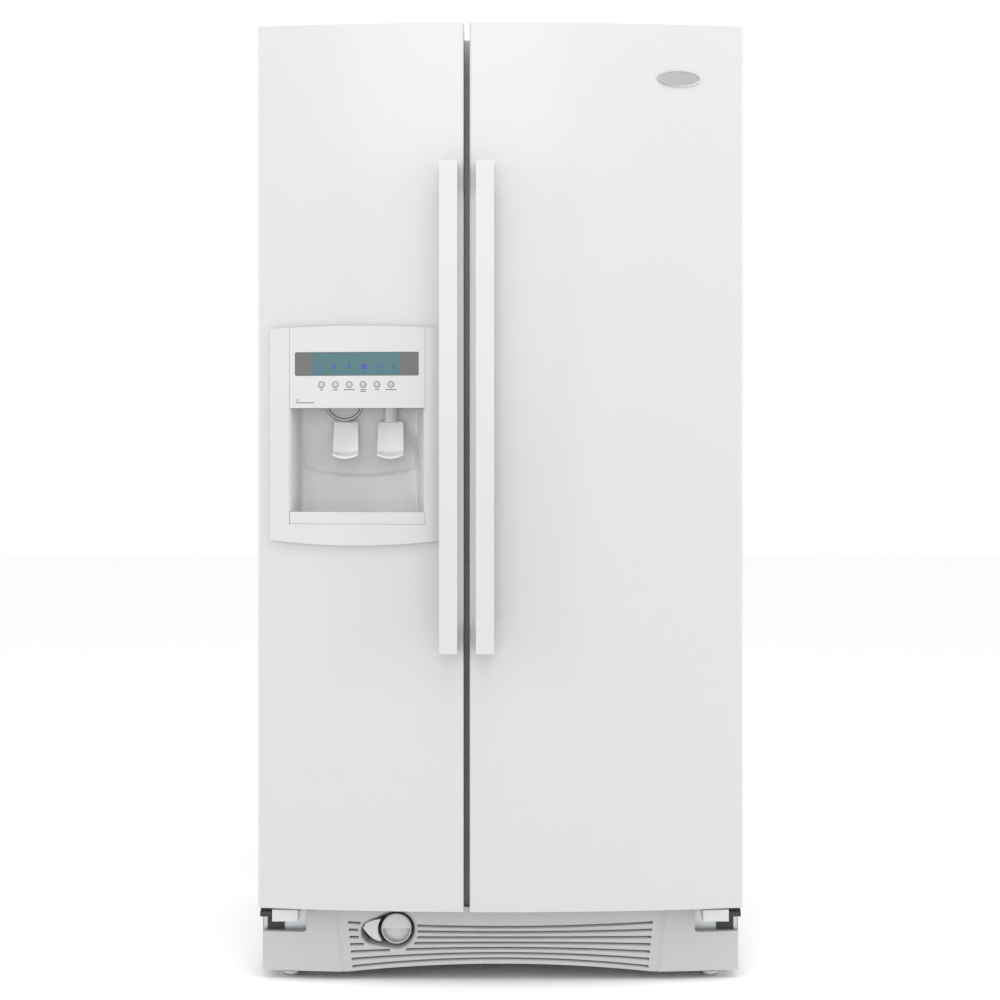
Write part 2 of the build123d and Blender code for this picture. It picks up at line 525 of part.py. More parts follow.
def make_chute():
    """The round ice chute, the hopper that feeds it from behind, and the flap in its mouth."""
    wall, half, front = 3.0, CHUTE_R + 5, -262.0
    back, ceiling, floor = BIN_FRONT + 58, BIN_LOW - 4, CHUTE_Z - 8
    slope_low, slope_back = 1168.0, BIN_FRONT + 4
    side = [(front, floor), (front, slope_low), (slope_back, ceiling)]
    side += [(back, ceiling), (back, ceiling - 26)]
    hopper = hopper_solid(side, half)
    mouth = front - 13
    inner = [(mouth, floor + 6), (mouth, slope_low - 7), (front, slope_low - 5)]
    inner += [(slope_back + 2, ceiling - 2), (slope_back + 2, ceiling + 5), (back - wall, ceiling + 5)]
    inner += [(back - wall, ceiling - 24), (front, floor + 6)]
    hopper -= hopper_solid(inner, half - wall)
    behind = block(-500, 0, front + 1, 0, 900, 1300)
    chute = chute_rod(0, 80, CHUTE_R) - behind + hopper - chute_rod(-1, 80, CHUTE_R - wall)
    pin = chute_frame(4.2) * Pos(0, -27, 0) * Rot(0, 90, 0)
    PARTS["ice_chute"] = chute - pin * Cylinder(1.8, 2 * half)
    PARTS["chute_flap"] = chute_rod(3, 5.5, CHUTE_R - 4.5) + pin * Cylinder(1.4, 38)


def hopper_solid(points, half):
    """A side view of the hopper, made solid across the chute."""
    profile = make_face(Polyline(*points, close=True))
    return Pos(CHUTE_X + half, 0, 0) * extrude(Plane.YZ * profile, -2 * half)


def make_freezer_door():
    x = (-DOOR_HALF, FREEZER_DOOR_EDGE)
    dike_x = (-388.0, -100.0)
    skin, core = make_door("freezer", x, -1, dike_x, FREEZER_BINS)
    hole_x = (WINDOW_X[0] - 2.5, WINDOW_X[1] + 2.5)
    hole_z = (WINDOW_Z[0] - 2, WINDOW_Z[1] - 2)
    hole = block(*hole_x, -420, CAVITY_BACK + 4, *hole_z)
    PARTS["freezer_door_skin"] = skin - hole
    round_hole = fillet(along(hole, Axis.Z).group_by(Axis.Y)[-1], 28.0)
    bulge_x = (dike_x[0] + DIKE, dike_x[1] - DIKE)
    bulge = block(*bulge_x, DOOR_BACK, CAVITY_BACK + 15, hole_z[0] - 10, hole_z[1] + 10)
    pieces = [
        core & block(-500, 0, -500, 0, 0, hole_z[0]),
        core & block(-500, 0, -500, 0, hole_z[1], 1800),
        core & block(-500, hole_x[0], -500, 0, *hole_z),
        core & block(hole_x[1], 0, -500, 0, *hole_z),
        bulge - round_hole - chute_rod(-5, 100, CHUTE_R + 0.7),
    ]
    PARTS["freezer_door_liner"] = group(pieces + [bar - round_hole for bar in dike_bars(dike_x)])
    PARTS["freezer_door_gasket"] = gasket((-420.0, -69.0))
    PARTS["freezer_handle"] = handle(HANDLE_X["freezer"])

    window = block(*WINDOW_X, -420, -300, *WINDOW_Z)
    bezel = facing(bezel_face(), -420, -300) & bow(BEZEL_PROUD)
    rim = bezel.edges().filter_by(lambda e: e.center().Y < bow_y(e.center().X, BEZEL_PROUD) + 1.5)
    bezel = fillet([e for e in rim if e.length > 50], 5.0)
    PARTS["dispenser_bezel"] = bezel - bow(0.3) - window

    width = (WINDOW_X[0] + 0.5, WINDOW_X[1] - 0.5)
    panel = block(*width, -420, -300, PANEL_LOW, WINDOW_Z[1] - 0.5) & (bow(9) - bow(1))
    panel -= block(*DISPLAY_X, -420, -300, *DISPLAY_Z)
    lens_x = (DISPLAY_X[0] + 0.2, DISPLAY_X[1] - 0.2)
    lens = block(*lens_x, -420, -300, DISPLAY_Z[0] + 0.2, DISPLAY_Z[1] - 0.2)
    PARTS["display_window"] = lens & (bow(8.2) - bow(3))
    for index in range(6):
        bx = BUTTON_X0 + index * BUTTON_PITCH
        face = bow_y(bx, 9.8)
        panel -= rod_y(bx, -420, -300, BUTTON_Z, BUTTON_R + 0.4)
        cap = rod_y(bx, face, face + 16, BUTTON_Z, BUTTON_R)
        cap = fillet(cap.edges().sort_by(Axis.Y)[0], 1.0)
        PARTS[f"button_{index + 1}"] = cap + rod_y(bx, face + 12, face + 15, BUTTON_Z, BUTTON_R + 1.6)
    PARTS["control_panel"] = panel

    PARTS["dispenser_recess"] = make_recess()
    PARTS["ice_paddle"] = make_paddle(PADDLE_X["ice"], 48.5)
    PARTS["water_paddle"] = make_paddle(PADDLE_X["water"], 50.0)
    make_chute()

    lip = block(WINDOW_X[0] + 0.8, WINDOW_X[1] - 0.8, -420, -300, TRAY_LOW, TRAY_LOW + TRAY_LIP)
    lip &= bow(9) - bow(3)
    pan_x, pan_z = (WINDOW_X[0] + 3.6, WINDOW_X[1] - 3.6), (TRAY_LOW - 0.4, TRAY_LOW + 11)
    pan = block(*pan_x, -420, CAVITY_BACK - 4.5, *pan_z)
    pan = fillet(along(pan, Axis.Z).group_by(Axis.Y)[-1], 30.0)
    well = block(pan_x[0] + 8, pan_x[1] - 8, -345, CAVITY_BACK - 12, pan_z[0] + 3, pan_z[1] + 1)
    well = fillet(along(well, Axis.Z), 14.0)
    PARTS["drip_tray"] = ((pan - well) & bow(3.2)) + lip


# ---------------------------------------------------------------- interior
def drawer(x, y, z, lip=12.0):
    """A pull-out tub with a finger lip along its top front edge."""
    tub = open_box(x, y, z, 2.5, 10.0)
    handle_x = (x[0] + 30, x[1] - 30)
    tub += block(*handle_x, y[0] - lip, y[0] + 0.5, z[1] - 6, z[1])
    return tub + block(*handle_x, y[0] - lip, y[0] - lip + 3, z[1] - 20, z[1])


def make_shelves():
    x = (FRIDGE_X[0] + LINER_T + 4, FRIDGE_X[1] - LINER_T - 4)
    panes, frames = [], []
    for top in FRIDGE_SHELVES:
        frame = block(*x, FRONT_LINE, SHELF_BACK, top - 14, top)
        frame = fillet(along(frame, Axis.X).group_by(Axis.Y)[0], 4.0)
        inner = (x[0] + 16, x[1] - 16)
        frame -= block(*inner, FRONT_LINE + 18, SHELF_BACK - 12, top - 15, top + 1)
        rebate = (x[0] + 10, x[1] - 10, FRONT_LINE + 12, SHELF_BACK - 6)
        frames.append(frame - block(*rebate, top - 5, top + 1))
        panes.append(block(rebate[0] + 1, rebate[1] - 1, rebate[2] + 1, rebate[3] - 1, top - 5, top - 1))
    PARTS["shelf_frames"] = group(frames)
    PARTS["shelf_glass"] = group(panes)

    x = (FREEZER_X[0] + LINER_T + 3, FREEZER_X[1] - LINER_T - 3)
    PARTS["freezer_shelves"] = group(wire_shelf(x, top) for top in FREEZER_SHELVES)


def wire_shelf(x, top, wires=13):
    """A frame of square bar with thin cross wires."""
    back, bar, wire = 285.0, 7.0, 4.0
    shelf = block(*x, FRONT_LINE, back, top - 8, top - 8 + bar)
    shelf -= block(x[0] + bar, x[1] - bar, FRONT_LINE + bar, back - bar, top - 9, top + 1)
    pitch = (x[1] - x[0]) / (wires + 1)
    for index in range(wires):
        centre = x[0] + (index + 1) * pitch
        shelf += block(centre - wire / 2, centre + wire / 2, FRONT_LINE + 3, back - 3, top - 6, top - 2)
    middle = (FRONT_LINE + back) / 2
    return shelf + block(x[0] + 3, x[1] - 3, middle - 3, middle + 3, top - 8, top - 4)


def make_interior():
    x = (FRIDGE_X[0] + LINER_T + 7, FRIDGE_X[1] - LINER_T - 7)
    PARTS["crisper_upper"] = drawer(x, (FRONT_LINE, 275), (412.5, 612))
    PARTS["crisper_lower"] = drawer(x, (FRONT_LINE, 205), (200, 400))
    x = (FREEZER_X[0] + LINER_T + 5, FREEZER_X[1] - LINER_T - 5)
    PARTS["freezer_basket"] = drawer(x, (FRONT_LINE, 280), (345.5, 560))

    bin_x, bin_y, bin_z = (x[0] + 2, x[1] - 2), (BIN_FRONT, 283.0), (BIN_LOW, 1440.0)
    mid_x, axle_z = sum(bin_x) / 2, bin_z[0] + 44
    tub = open_box(bin_x, bin_y, bin_z, 3.0, 12.0)
    tub -= block(mid_x - 42, mid_x + 42, bin_y[0] + 12, bin_y[0] + 62, bin_z[0] - 1, bin_z[0] + 4)
    tub += rod_y(mid_x, bin_y[0] + 2, bin_y[0] + 12, axle_z, 12)
    tub -= rod_y(mid_x, bin_y[0] - 1, bin_y[0] + 13, axle_z, 6.2)
    tub -= rod_y(mid_x, bin_y[1] - 5, bin_y[1] + 1, axle_z, 6.2)
    PARTS["ice_bin"] = tub
    auger = rod_y(mid_x, bin_y[0] + 1, bin_y[1] + 8, axle_z, 6)
    for index in range(11):
        blade = block(-34, 34, -2, 2, -9, 9)
        spot = Pos(mid_x, bin_y[0] + 35 + index * 34, axle_z) * Rot(0, index * 35, 0)
        auger += spot * Rot(25, 0, 0) * blade
    PARTS["ice_auger"] = auger

    maker = block(-370, -150, 150, 280, 1590, 1660)
    mould = block(-364, -156, 160, 250, 1612, 1661)
    mould = fillet(along(mould, Axis.X).group_by(Axis.Z)[0], 20.0)
    maker -= mould
    for index in range(7):
        fin_x = -338 + index * 26
        maker += block(fin_x - 1.5, fin_x + 1.5, 158, 252, 1605, 1650)
    maker += block(-150.5, -110, 150, 280, 1580, 1690)
    maker += block(-380, -369.5, 150, 290, 1590, 1700) + block(-380, -112, 280, 290, 1640, 1700)
    PARTS["ice_maker"] = maker


def fan(hub, place, turn, blade, radius):
    """A hub with five pitched blades, drawn round a place and turned by turn(degrees)."""
    for index in range(5):
        hub += place * turn(index * 72) * Pos(0, 0, radius / 2 + 4) * Rot(0, 0, 35) * blade
    return hub


def fin_coil(x, y, z, fins, rows):
    """A finned heat exchanger: thin plates on round tubes that run along X."""
    coil = None
    for index in range(fins):
        place = x[0] + 6 + (x[1] - x[0] - 12) * index / (fins - 1)
        plate = block(place - 0.8, place + 0.8, *y, *z)
        coil = plate if coil is None else coil + plate
    for index in range(rows):
        height = z[0] + (z[1] - z[0]) * (index + 0.5) / rows
        coil += rod_x(x[0], x[1], sum(y) / 2, height, 4.5)
    return coil


def make_machinery():
    cover = block(FREEZER_X[0] + 6, FREEZER_X[1] - 6, 297, 299.5, 345, 1540)
    fan_x, fan_z, fan_y = -242.0, 1000.0, 322.0
    for step in range(-4, 5):
        half = (48**2 - (step * 10) ** 2) ** 0.5
        cover -= block(fan_x - half, fan_x + half, 290, 305, fan_z + step * 10 - 3, fan_z + step * 10 + 3)
    for row in range(5):
        for column in (-350, -250, -150):
            low = 380 + row * 14
            cover -= block(column - 38, column + 38, 290, 305, low, low + 6)
    cover += block(fan_x - 4, fan_x + 4, 299, 340, fan_z + 58, fan_z + 64)
    cover += block(fan_x - 4, fan_x + 4, 336, 340, fan_z - 10, fan_z + 64)
    cover += rod_y(fan_x, 334, 352, fan_z, 18)
    PARTS["evaporator_cover"] = cover
    hub = rod_y(fan_x, fan_y - 8, fan_y + 8, fan_z, 12)
    place = Pos(fan_x, fan_y, fan_z)
    PARTS["evaporator_fan"] = fan(hub, place, lambda a: Rot(0, a, 0), Box(26, 2, 40), 48)
    PARTS["evaporator_coil"] = fin_coil((-385, -99), (306, 350), (400, 760), 16, 7)

    dome = fillet(rod_z(-255, 340, 72, 236, 70).edges(), 26.0)
    PARTS["compressor"] = dome + block(-345, -165, 275, 405, 62.6, 74) + rod_z(-195, 340, 200, 262, 5)
    PARTS["condenser_coil"] = fin_coil((120, 400), (275, 400), (66, 206), 14, 4)

    mid_y, mid_z = 338.0, 136.0
    frame = block(12, 16, 270, 406, 62.6, 208) - rod_x(10, 18, mid_y, mid_z, 60)
    frame += block(15, 52, mid_y - 4, mid_y + 4, mid_z + 61, mid_z + 66)
    frame += block(44, 52, mid_y - 4, mid_y + 4, mid_z - 4, mid_z + 66)
    PARTS["condenser_fan_frame"] = frame + rod_x(34, 76, mid_y, mid_z, 20)
    hub = rod_x(2, 24, mid_y, mid_z, 14) + rod_x(20, 33.6, mid_y, mid_z, 3)
    place = Pos(14, mid_y, mid_z)
    PARTS["condenser_fan"] = fan(hub, place, lambda a: Rot(a, 0, 0), Box(2, 30, 49), 57)

    back = block(-443, 443, BACK - 1.8, BACK, 40, 297)
    for row in range(9):
        for column in range(-3, 4):
            low = 90 + row * 20
            if column != 0:
                mid_x = column * 112
                back -= block(mid_x - 42, mid_x + 42, BACK - 9, BACK + 1, low, low + 6)
    back += rod_y(0, BACK - 8, BACK - 1, 80, 12) + rod_y(0, BACK - 8, BACK - 1, 130, 9)
    back -= rod_y(0, BACK - 9, BACK + 1, 80, 5.5)
    back -= rod_y(0, BACK - 9, BACK + 1, 130, 3.25)
    PARTS["machine_cover"] = back


def main():
    make_cabinet()
    make_foam()
    make_base()
    make_grille()
    make_filter()
    make_hinges()
    make_fridge_door()
    make_freezer_door()
    make_shelves()
    make_interior()
    make_machinery()
    os.makedirs("parts", exist_ok=True)
    for name, shape in PARTS.items():
        export_step(shape, f"parts/{name}.step")


main()
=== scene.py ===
import json
from math import ceil, cos, pi, radians, sin, sqrt

import bmesh
import bpy
from mathutils import Matrix, Vector


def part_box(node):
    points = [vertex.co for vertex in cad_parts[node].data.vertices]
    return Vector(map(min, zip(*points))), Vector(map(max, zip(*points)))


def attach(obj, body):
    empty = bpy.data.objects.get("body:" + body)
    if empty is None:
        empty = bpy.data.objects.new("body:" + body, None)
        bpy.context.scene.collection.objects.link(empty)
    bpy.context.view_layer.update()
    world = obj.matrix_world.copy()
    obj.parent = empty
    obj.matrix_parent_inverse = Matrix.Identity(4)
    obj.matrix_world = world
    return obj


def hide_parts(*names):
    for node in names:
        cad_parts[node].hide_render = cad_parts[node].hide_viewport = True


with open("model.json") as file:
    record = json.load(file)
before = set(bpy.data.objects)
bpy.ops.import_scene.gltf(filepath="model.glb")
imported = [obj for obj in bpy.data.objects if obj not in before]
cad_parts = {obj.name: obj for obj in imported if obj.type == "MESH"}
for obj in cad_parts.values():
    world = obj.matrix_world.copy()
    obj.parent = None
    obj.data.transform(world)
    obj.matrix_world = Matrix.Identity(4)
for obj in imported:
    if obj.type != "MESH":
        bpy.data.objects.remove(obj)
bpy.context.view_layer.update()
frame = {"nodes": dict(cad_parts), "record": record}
NODES = frame["nodes"]
BODY_OF = {node: body for body, nodes in frame["record"]["behaviour"]["bodies"].items() for node in nodes}
SLOT_OF = {part["node"]: part["material_slot"] for part in frame["record"]["subparts"]}
MM = 0.001

# ---------------------------------------------------------------- shapes that several pieces share
SKIN_LOW, SKIN_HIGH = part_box("fridge_door_skin")
DOOR_HALF = SKIN_HIGH.x
DOOR_LOW, DOOR_TOP = SKIN_LOW.z, SKIN_HIGH.z
DOOR_BACK, APEX = SKIN_HIGH.y, SKIN_LOW.y
BOW = 35 * MM  # how far the doors' middle stands in front of their side edges
BOW_R = (DOOR_HALF**2 + BOW**2) / (2 * BOW)

GRILLE_LOW, GRILLE_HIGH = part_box("base_grille")
GRILLE_BOW = 25 * MM
GRILLE_R = (GRILLE_HIGH.x**2 + GRILLE_BOW**2) / (2 * GRILLE_BOW)


def front(x, proud=0.0):
    """Where the bowed door front is at x, moved forwards by proud."""
    return APEX + BOW_R - sqrt((BOW_R + proud) ** 2 - x * x)


def grille_front(x):
    """Where the bowed grille's surface is at x."""
    return GRILLE_LOW.y + GRILLE_R - sqrt(GRILLE_R**2 - x * x)


def smooth(value, low, high):
    """0 below low, 1 above high, and a smooth step between."""
    share = min(1.0, max(0.0, (value - low) / (high - low)))
    return share * share * (3 - 2 * share)


def spread(low, high, count):
    """Count + 1 numbers from low to high."""
    return [low + (high - low) * index / count for index in range(count + 1)]


def middle_of(node_name):
    """The middle of a CAD node's box, across and up."""
    low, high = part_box(node_name)
    return (low.x + high.x) / 2, (low.z + high.z) / 2


# ---------------------------------------------------------------- outlines
def rounded(corners, radius, steps=5):
    """A closed outline through the corners, each rounded by its radius."""
    radii = radius if isinstance(radius, (list, tuple)) else [radius] * len(corners)
    points = []
    for index, corner in enumerate(corners):
        here = Vector(corner)
        before = (Vector(corners[index - 1]) - here).normalized()
        after = (Vector(corners[(index + 1) % len(corners)]) - here).normalized()
        if radii[index] <= 0:
            points.append(tuple(here))
            continue
        start, end = here + before * radii[index], here + after * radii[index]
        for s in spread(0, 1, steps):
            points.append(tuple(start * (1 - s) ** 2 + here * 2 * s * (1 - s) + end * s * s))
    return points


def arc_line(start, end, rise, steps=24):
    """Points from start to end on a shallow arc that bulges by rise along the second axis."""
    points = []
    for s in spread(0, 1, steps):
        across = start[0] + (end[0] - start[0]) * s
        points.append((across, start[1] + (end[1] - start[1]) * s + rise * 4 * s * (1 - s)))
    return points


def oblong(u0, v0, u1, v1):
    """The four corners of a rectangle."""
    return [(u0, v0), (u1, v0), (u1, v1), (u0, v1)]


def circle(u, v, radius, steps=28, squash=1.0):
    """A closed round outline, or an upright oval one."""
    angles = [2 * pi * index / steps for index in range(steps)]
    return [(u + radius * cos(a), v + radius * squash * sin(a)) for a in angles]


def drop_outline(grow=0.0, steps=72):
    """The tear-drop round the filter knob and its eject button."""
    points = []
    for index in range(steps):
        a = 2 * pi * index / steps
        n = Vector((cos(a), sin(a)))
        knob = Vector((KNOB.x, KNOB.z)).dot(n) + POCKET_R
        lobe = Vector(LOBE).dot(n) + LOBE_R
        if knob > lobe:
            points.append((KNOB.x + n.x * (POCKET_R + grow), KNOB.z + n.y * (POCKET_R + grow)))
        else:
            points.append((LOBE[0] + n.x * (LOBE_R + grow), LOBE[1] + n.y * (LOBE_R + grow)))
    return points


# ---------------------------------------------------------------- meshes
TOUCH = 1e-6  # metres within which a point counts as being on a plane
THINNEST = 1e-5  # metres, the radius that stands for a point on an axis
RIM_ANGLE = 1.0  # radians between faces, above which an edge is a rim


def slab(loops, depth, edge=0.0, cuts=(), segments=3, both=False):
    """A flat slab with holes, drawn with the first two axes and rounded along its front rims."""
    bm = bmesh.new()
    edges = []
    for loop in loops:
        verts = [bm.verts.new((u, v, 0)) for u, v in loop]
        edges += [bm.edges.new((verts[index - 1], verts[index])) for index in range(len(verts))]
    bmesh.ops.triangle_fill(bm, use_beauty=True, use_dissolve=False, edges=edges, normal=(0, 0, -1))
    made = bmesh.ops.extrude_face_region(bm, geom=list(bm.faces))["geom"]
    for item in made:
        if isinstance(item, bmesh.types.BMVert):
            item.co.z += depth
    bmesh.ops.recalc_face_normals(bm, faces=bm.faces)
    if edge:
        rims = []
        for e in bm.edges:
            low = all(v.co.z < TOUCH for v in e.verts)
            high = all(v.co.z > depth - TOUCH for v in e.verts)
            if (low or (both and high)) and e.calc_face_angle(0) > RIM_ANGLE:
                rims.append(e)
        bmesh.ops.bevel(bm, geom=rims, offset=edge, segments=segments, profile=0.5, affect="EDGES",
                        clamp_overlap=True)
    for u in cuts:
        everything = list(bm.verts) + list(bm.edges) + list(bm.faces)
        bmesh.ops.bisect_plane(bm, geom=everything, dist=TOUCH, plane_co=(u, 0, 0), plane_no=(1, 0, 0))
    return bm


def grid(rows, closed=False, caps=False):
    """A sheet through rows of points."""
    bm = bmesh.new()
    lines = [[bm.verts.new(point) for point in row] for row in rows]
    count = len(lines[0])
    for upper, lower in zip(lines, lines[1:]):
        for index in range(count if closed else count - 1):
            after = (index + 1) % count
            bm.faces.new((upper[index], upper[after], lower[after], lower[index]))
    if caps:
        bm.faces.new(lines[0])
        bm.faces.new(reversed(lines[-1]))
    bmesh.ops.remove_doubles(bm, verts=bm.verts, dist=1e-7)
    return bm


def placed(bm, function):
    """Moves every point (u, v, w) of a mesh to function(u, v, w)."""
    for vert in bm.verts:
        vert.co = function(*vert.co)
    return bm


def on_front(bm, proud):
    """Lays a slab on the bowed door front, moved forwards by proud."""
    return placed(bm, lambda u, v, w: (u, front(u, proud) + w, v))


def join(*parts):
    """Several meshes as one."""
    bm = bmesh.new()
    for part in parts:
        mesh = bpy.data.meshes.new("part")
        part.to_mesh(mesh)
        part.free()
        bm.from_mesh(mesh)
        bpy.data.meshes.remove(mesh)
    return bm


def block(low, high, edge):
    """A box with rounded edges."""
    bm = bmesh.new()
    size = Vector(high) - Vector(low)
    matrix = Matrix.Translation((Vector(low) + Vector(high)) / 2) @ Matrix.Diagonal((*size, 1))
    bmesh.ops.create_cube(bm, size=1, matrix=matrix)
    bmesh.ops.bevel(bm, geom=list(bm.edges), offset=edge, segments=2, profile=0.5, affect="EDGES")
    return bm


def turned(profile, place, steps):
    """Rows of points round a place's own Z, one for each point (radius, height)."""
    rows = []
    for radius, height in profile:
        r = max(radius, THINNEST)
        rows.append([place @ Vector((r * cos(a), r * sin(a), height)) for a in spread(0, 2 * pi, steps)[:-1]])
    return rows


def lathe(profile, place, steps):
    """A closed solid turned about a place's own Z."""
    return grid(turned(profile, place, steps), closed=True, caps=True)


def facing(x, y, z, axis="-Y"):
    """A place whose own Z points along an axis."""
    turns = {"-Y": Matrix.Rotation(pi / 2, 4, "X"), "Y": Matrix.Rotation(-pi / 2, 4, "X"),
             "X": Matrix.Rotation(pi / 2, 4, "Y")}
    return Matrix.Translation((x, y, z)) @ turns[axis]


def piece(name, bm, body, material, stands_for=(), angle=40):
    """A new object of the part, riding on a body."""
    bmesh.ops.recalc_face_normals(bm, faces=bm.faces)
    mesh = bpy.data.meshes.new(name)
    bm.to_mesh(mesh)
    bm.free()
    mesh.shade_smooth()
    mesh.set_sharp_from_angle(angle=radians(angle))
    mesh.materials.append(material)
    obj = bpy.data.objects.new(name, mesh)
    bpy.context.scene.collection.objects.link(obj)
    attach(obj, body)
    if stands_for:
        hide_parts(*stands_for)
    obj.modifiers.new("normals", "WEIGHTED_NORMAL").keep_sharp = True
    return obj


def thicken(obj, thickness, offset):
    """Gives a sheet a wall. It is done before the normals are set."""
    wall = obj.modifiers.new("wall", "SOLIDIFY")
    wall.thickness, wall.offset = thickness, offset
    obj.modifiers.move(1, 0)


def cut(obj, *cutters):
    """Takes solids out of an object for good."""
    for cutter in cutters:
        mesh = bpy.data.meshes.new("cutter")
        cutter.to_mesh(mesh)
        cutter.free()
        tool = bpy.data.objects.new("cutter", mesh)
        bpy.context.scene.collection.objects.link(tool)
        modifier = obj.modifiers.new("cut", "BOOLEAN")
        modifier.operation, modifier.solver, modifier.object = "DIFFERENCE", "EXACT", tool
        obj.modifiers.move(len(obj.modifiers) - 1, 0)
        with bpy.context.temp_override(object=obj, active_object=obj):
            bpy.ops.object.modifier_apply(modifier="cut")
        bpy.data.objects.remove(tool)
    obj.data.shade_smooth()
    obj.data.set_sharp_from_angle(angle=radians(40))


# ---------------------------------------------------------------- materials
CLOUD_WAVES = 6.0  # per metre, of the uneven tone and gloss
SPECK_WAVES = 0.23  # of the fine grain's
CLOUD_SHARE, SPECK_SHARE = 0.65, 0.35  # of each in the tone
BUMP_STRENGTH = 0.6
COAT_ROUGHNESS = 0.12
SMOOTHEST = 0.02


def node(tree, kind, **inputs):
    """A shader node with some inputs set or linked. Spaces in input names are underscores."""
    made = tree.nodes.new(kind)
    for name, value in inputs.items():
        set_input(tree, made.inputs[name.replace("_", " ")], value)
    return made


def set_input(tree, socket, value):
    """Links a socket to another, or gives it a value."""
    if isinstance(value, bpy.types.NodeSocket):
        tree.links.new(value, socket)
    else:
        socket.default_value = value


def maths(tree, operation, *values):
    """The result of a maths node."""
    made = node(tree, "ShaderNodeMath")
    made.operation = operation
    for socket, value in zip(made.inputs, values):
        set_input(tree, socket, value)
    return made.outputs[0]


def finish_material(name, colour, rough, metallic=0.0, coat=0.0, grain=(900, 0.02), tone=0.02, haze=0.04,
                    stretch=(1, 1, 1), clear=0.0, ior=1.5, dirt=0.0):
    """A surface with uneven tone, uneven gloss and a fine grain. Grain is (waves per metre, depth in mm)."""
    material = bpy.data.materials.new(name)
    material.use_nodes = True
    tree = material.node_tree
    shader = tree.nodes["Principled BSDF"]
    waves, depth = grain
    coords = tree.nodes.new("ShaderNodeTexCoord").outputs["Object"]
    scaled = node(tree, "ShaderNodeMapping", Vector=coords, Scale=stretch).outputs["Vector"]
    cloud = node(tree, "ShaderNodeTexNoise", Vector=coords, Scale=CLOUD_WAVES, Detail=4.0).outputs["Fac"]
    fine = node(tree, "ShaderNodeTexNoise", Vector=scaled, Scale=float(waves), Detail=2.0).outputs["Fac"]
    coarse = waves * SPECK_WAVES
    speck = node(tree, "ShaderNodeTexNoise", Vector=scaled, Scale=coarse, Detail=3.0).outputs["Fac"]
    weak = maths(tree, "MULTIPLY", speck, SPECK_SHARE)
    blend = maths(tree, "MULTIPLY_ADD", cloud, CLOUD_SHARE, weak)
    mix = tree.nodes.new("ShaderNodeMix")
    mix.data_type = "RGBA"
    set_input(tree, mix.inputs["Factor"], blend)
    mix.inputs["A"].default_value = (*[c * (1 - tone - dirt) for c in colour], 1)
    mix.inputs["B"].default_value = (*[min(1.0, c * (1 + tone)) for c in colour], 1)
    tree.links.new(mix.outputs["Result"], shader.inputs["Base Color"])
    glossiest = max(SMOOTHEST, rough - haze)
    gloss = node(tree, "ShaderNodeMapRange", Value=cloud, To_Min=glossiest, To_Max=rough + haze)
    tree.links.new(gloss.outputs["Result"], shader.inputs["Roughness"])
    bump = node(tree, "ShaderNodeBump", Height=fine, Distance=depth * MM, Strength=BUMP_STRENGTH)
    tree.links.new(bump.outputs["Normal"], shader.inputs["Normal"])
    shader.inputs["Metallic"].default_value = metallic
    shader.inputs["Coat Weight"].default_value = coat
    shader.inputs["Coat Roughness"].default_value = COAT_ROUGHNESS
    shader.inputs["IOR"].default_value = ior
    if clear:
        shader.inputs["Transmission Weight"].default_value = clear
    return material


def grey(value):
    """A neutral colour."""
    return (value, value, value)


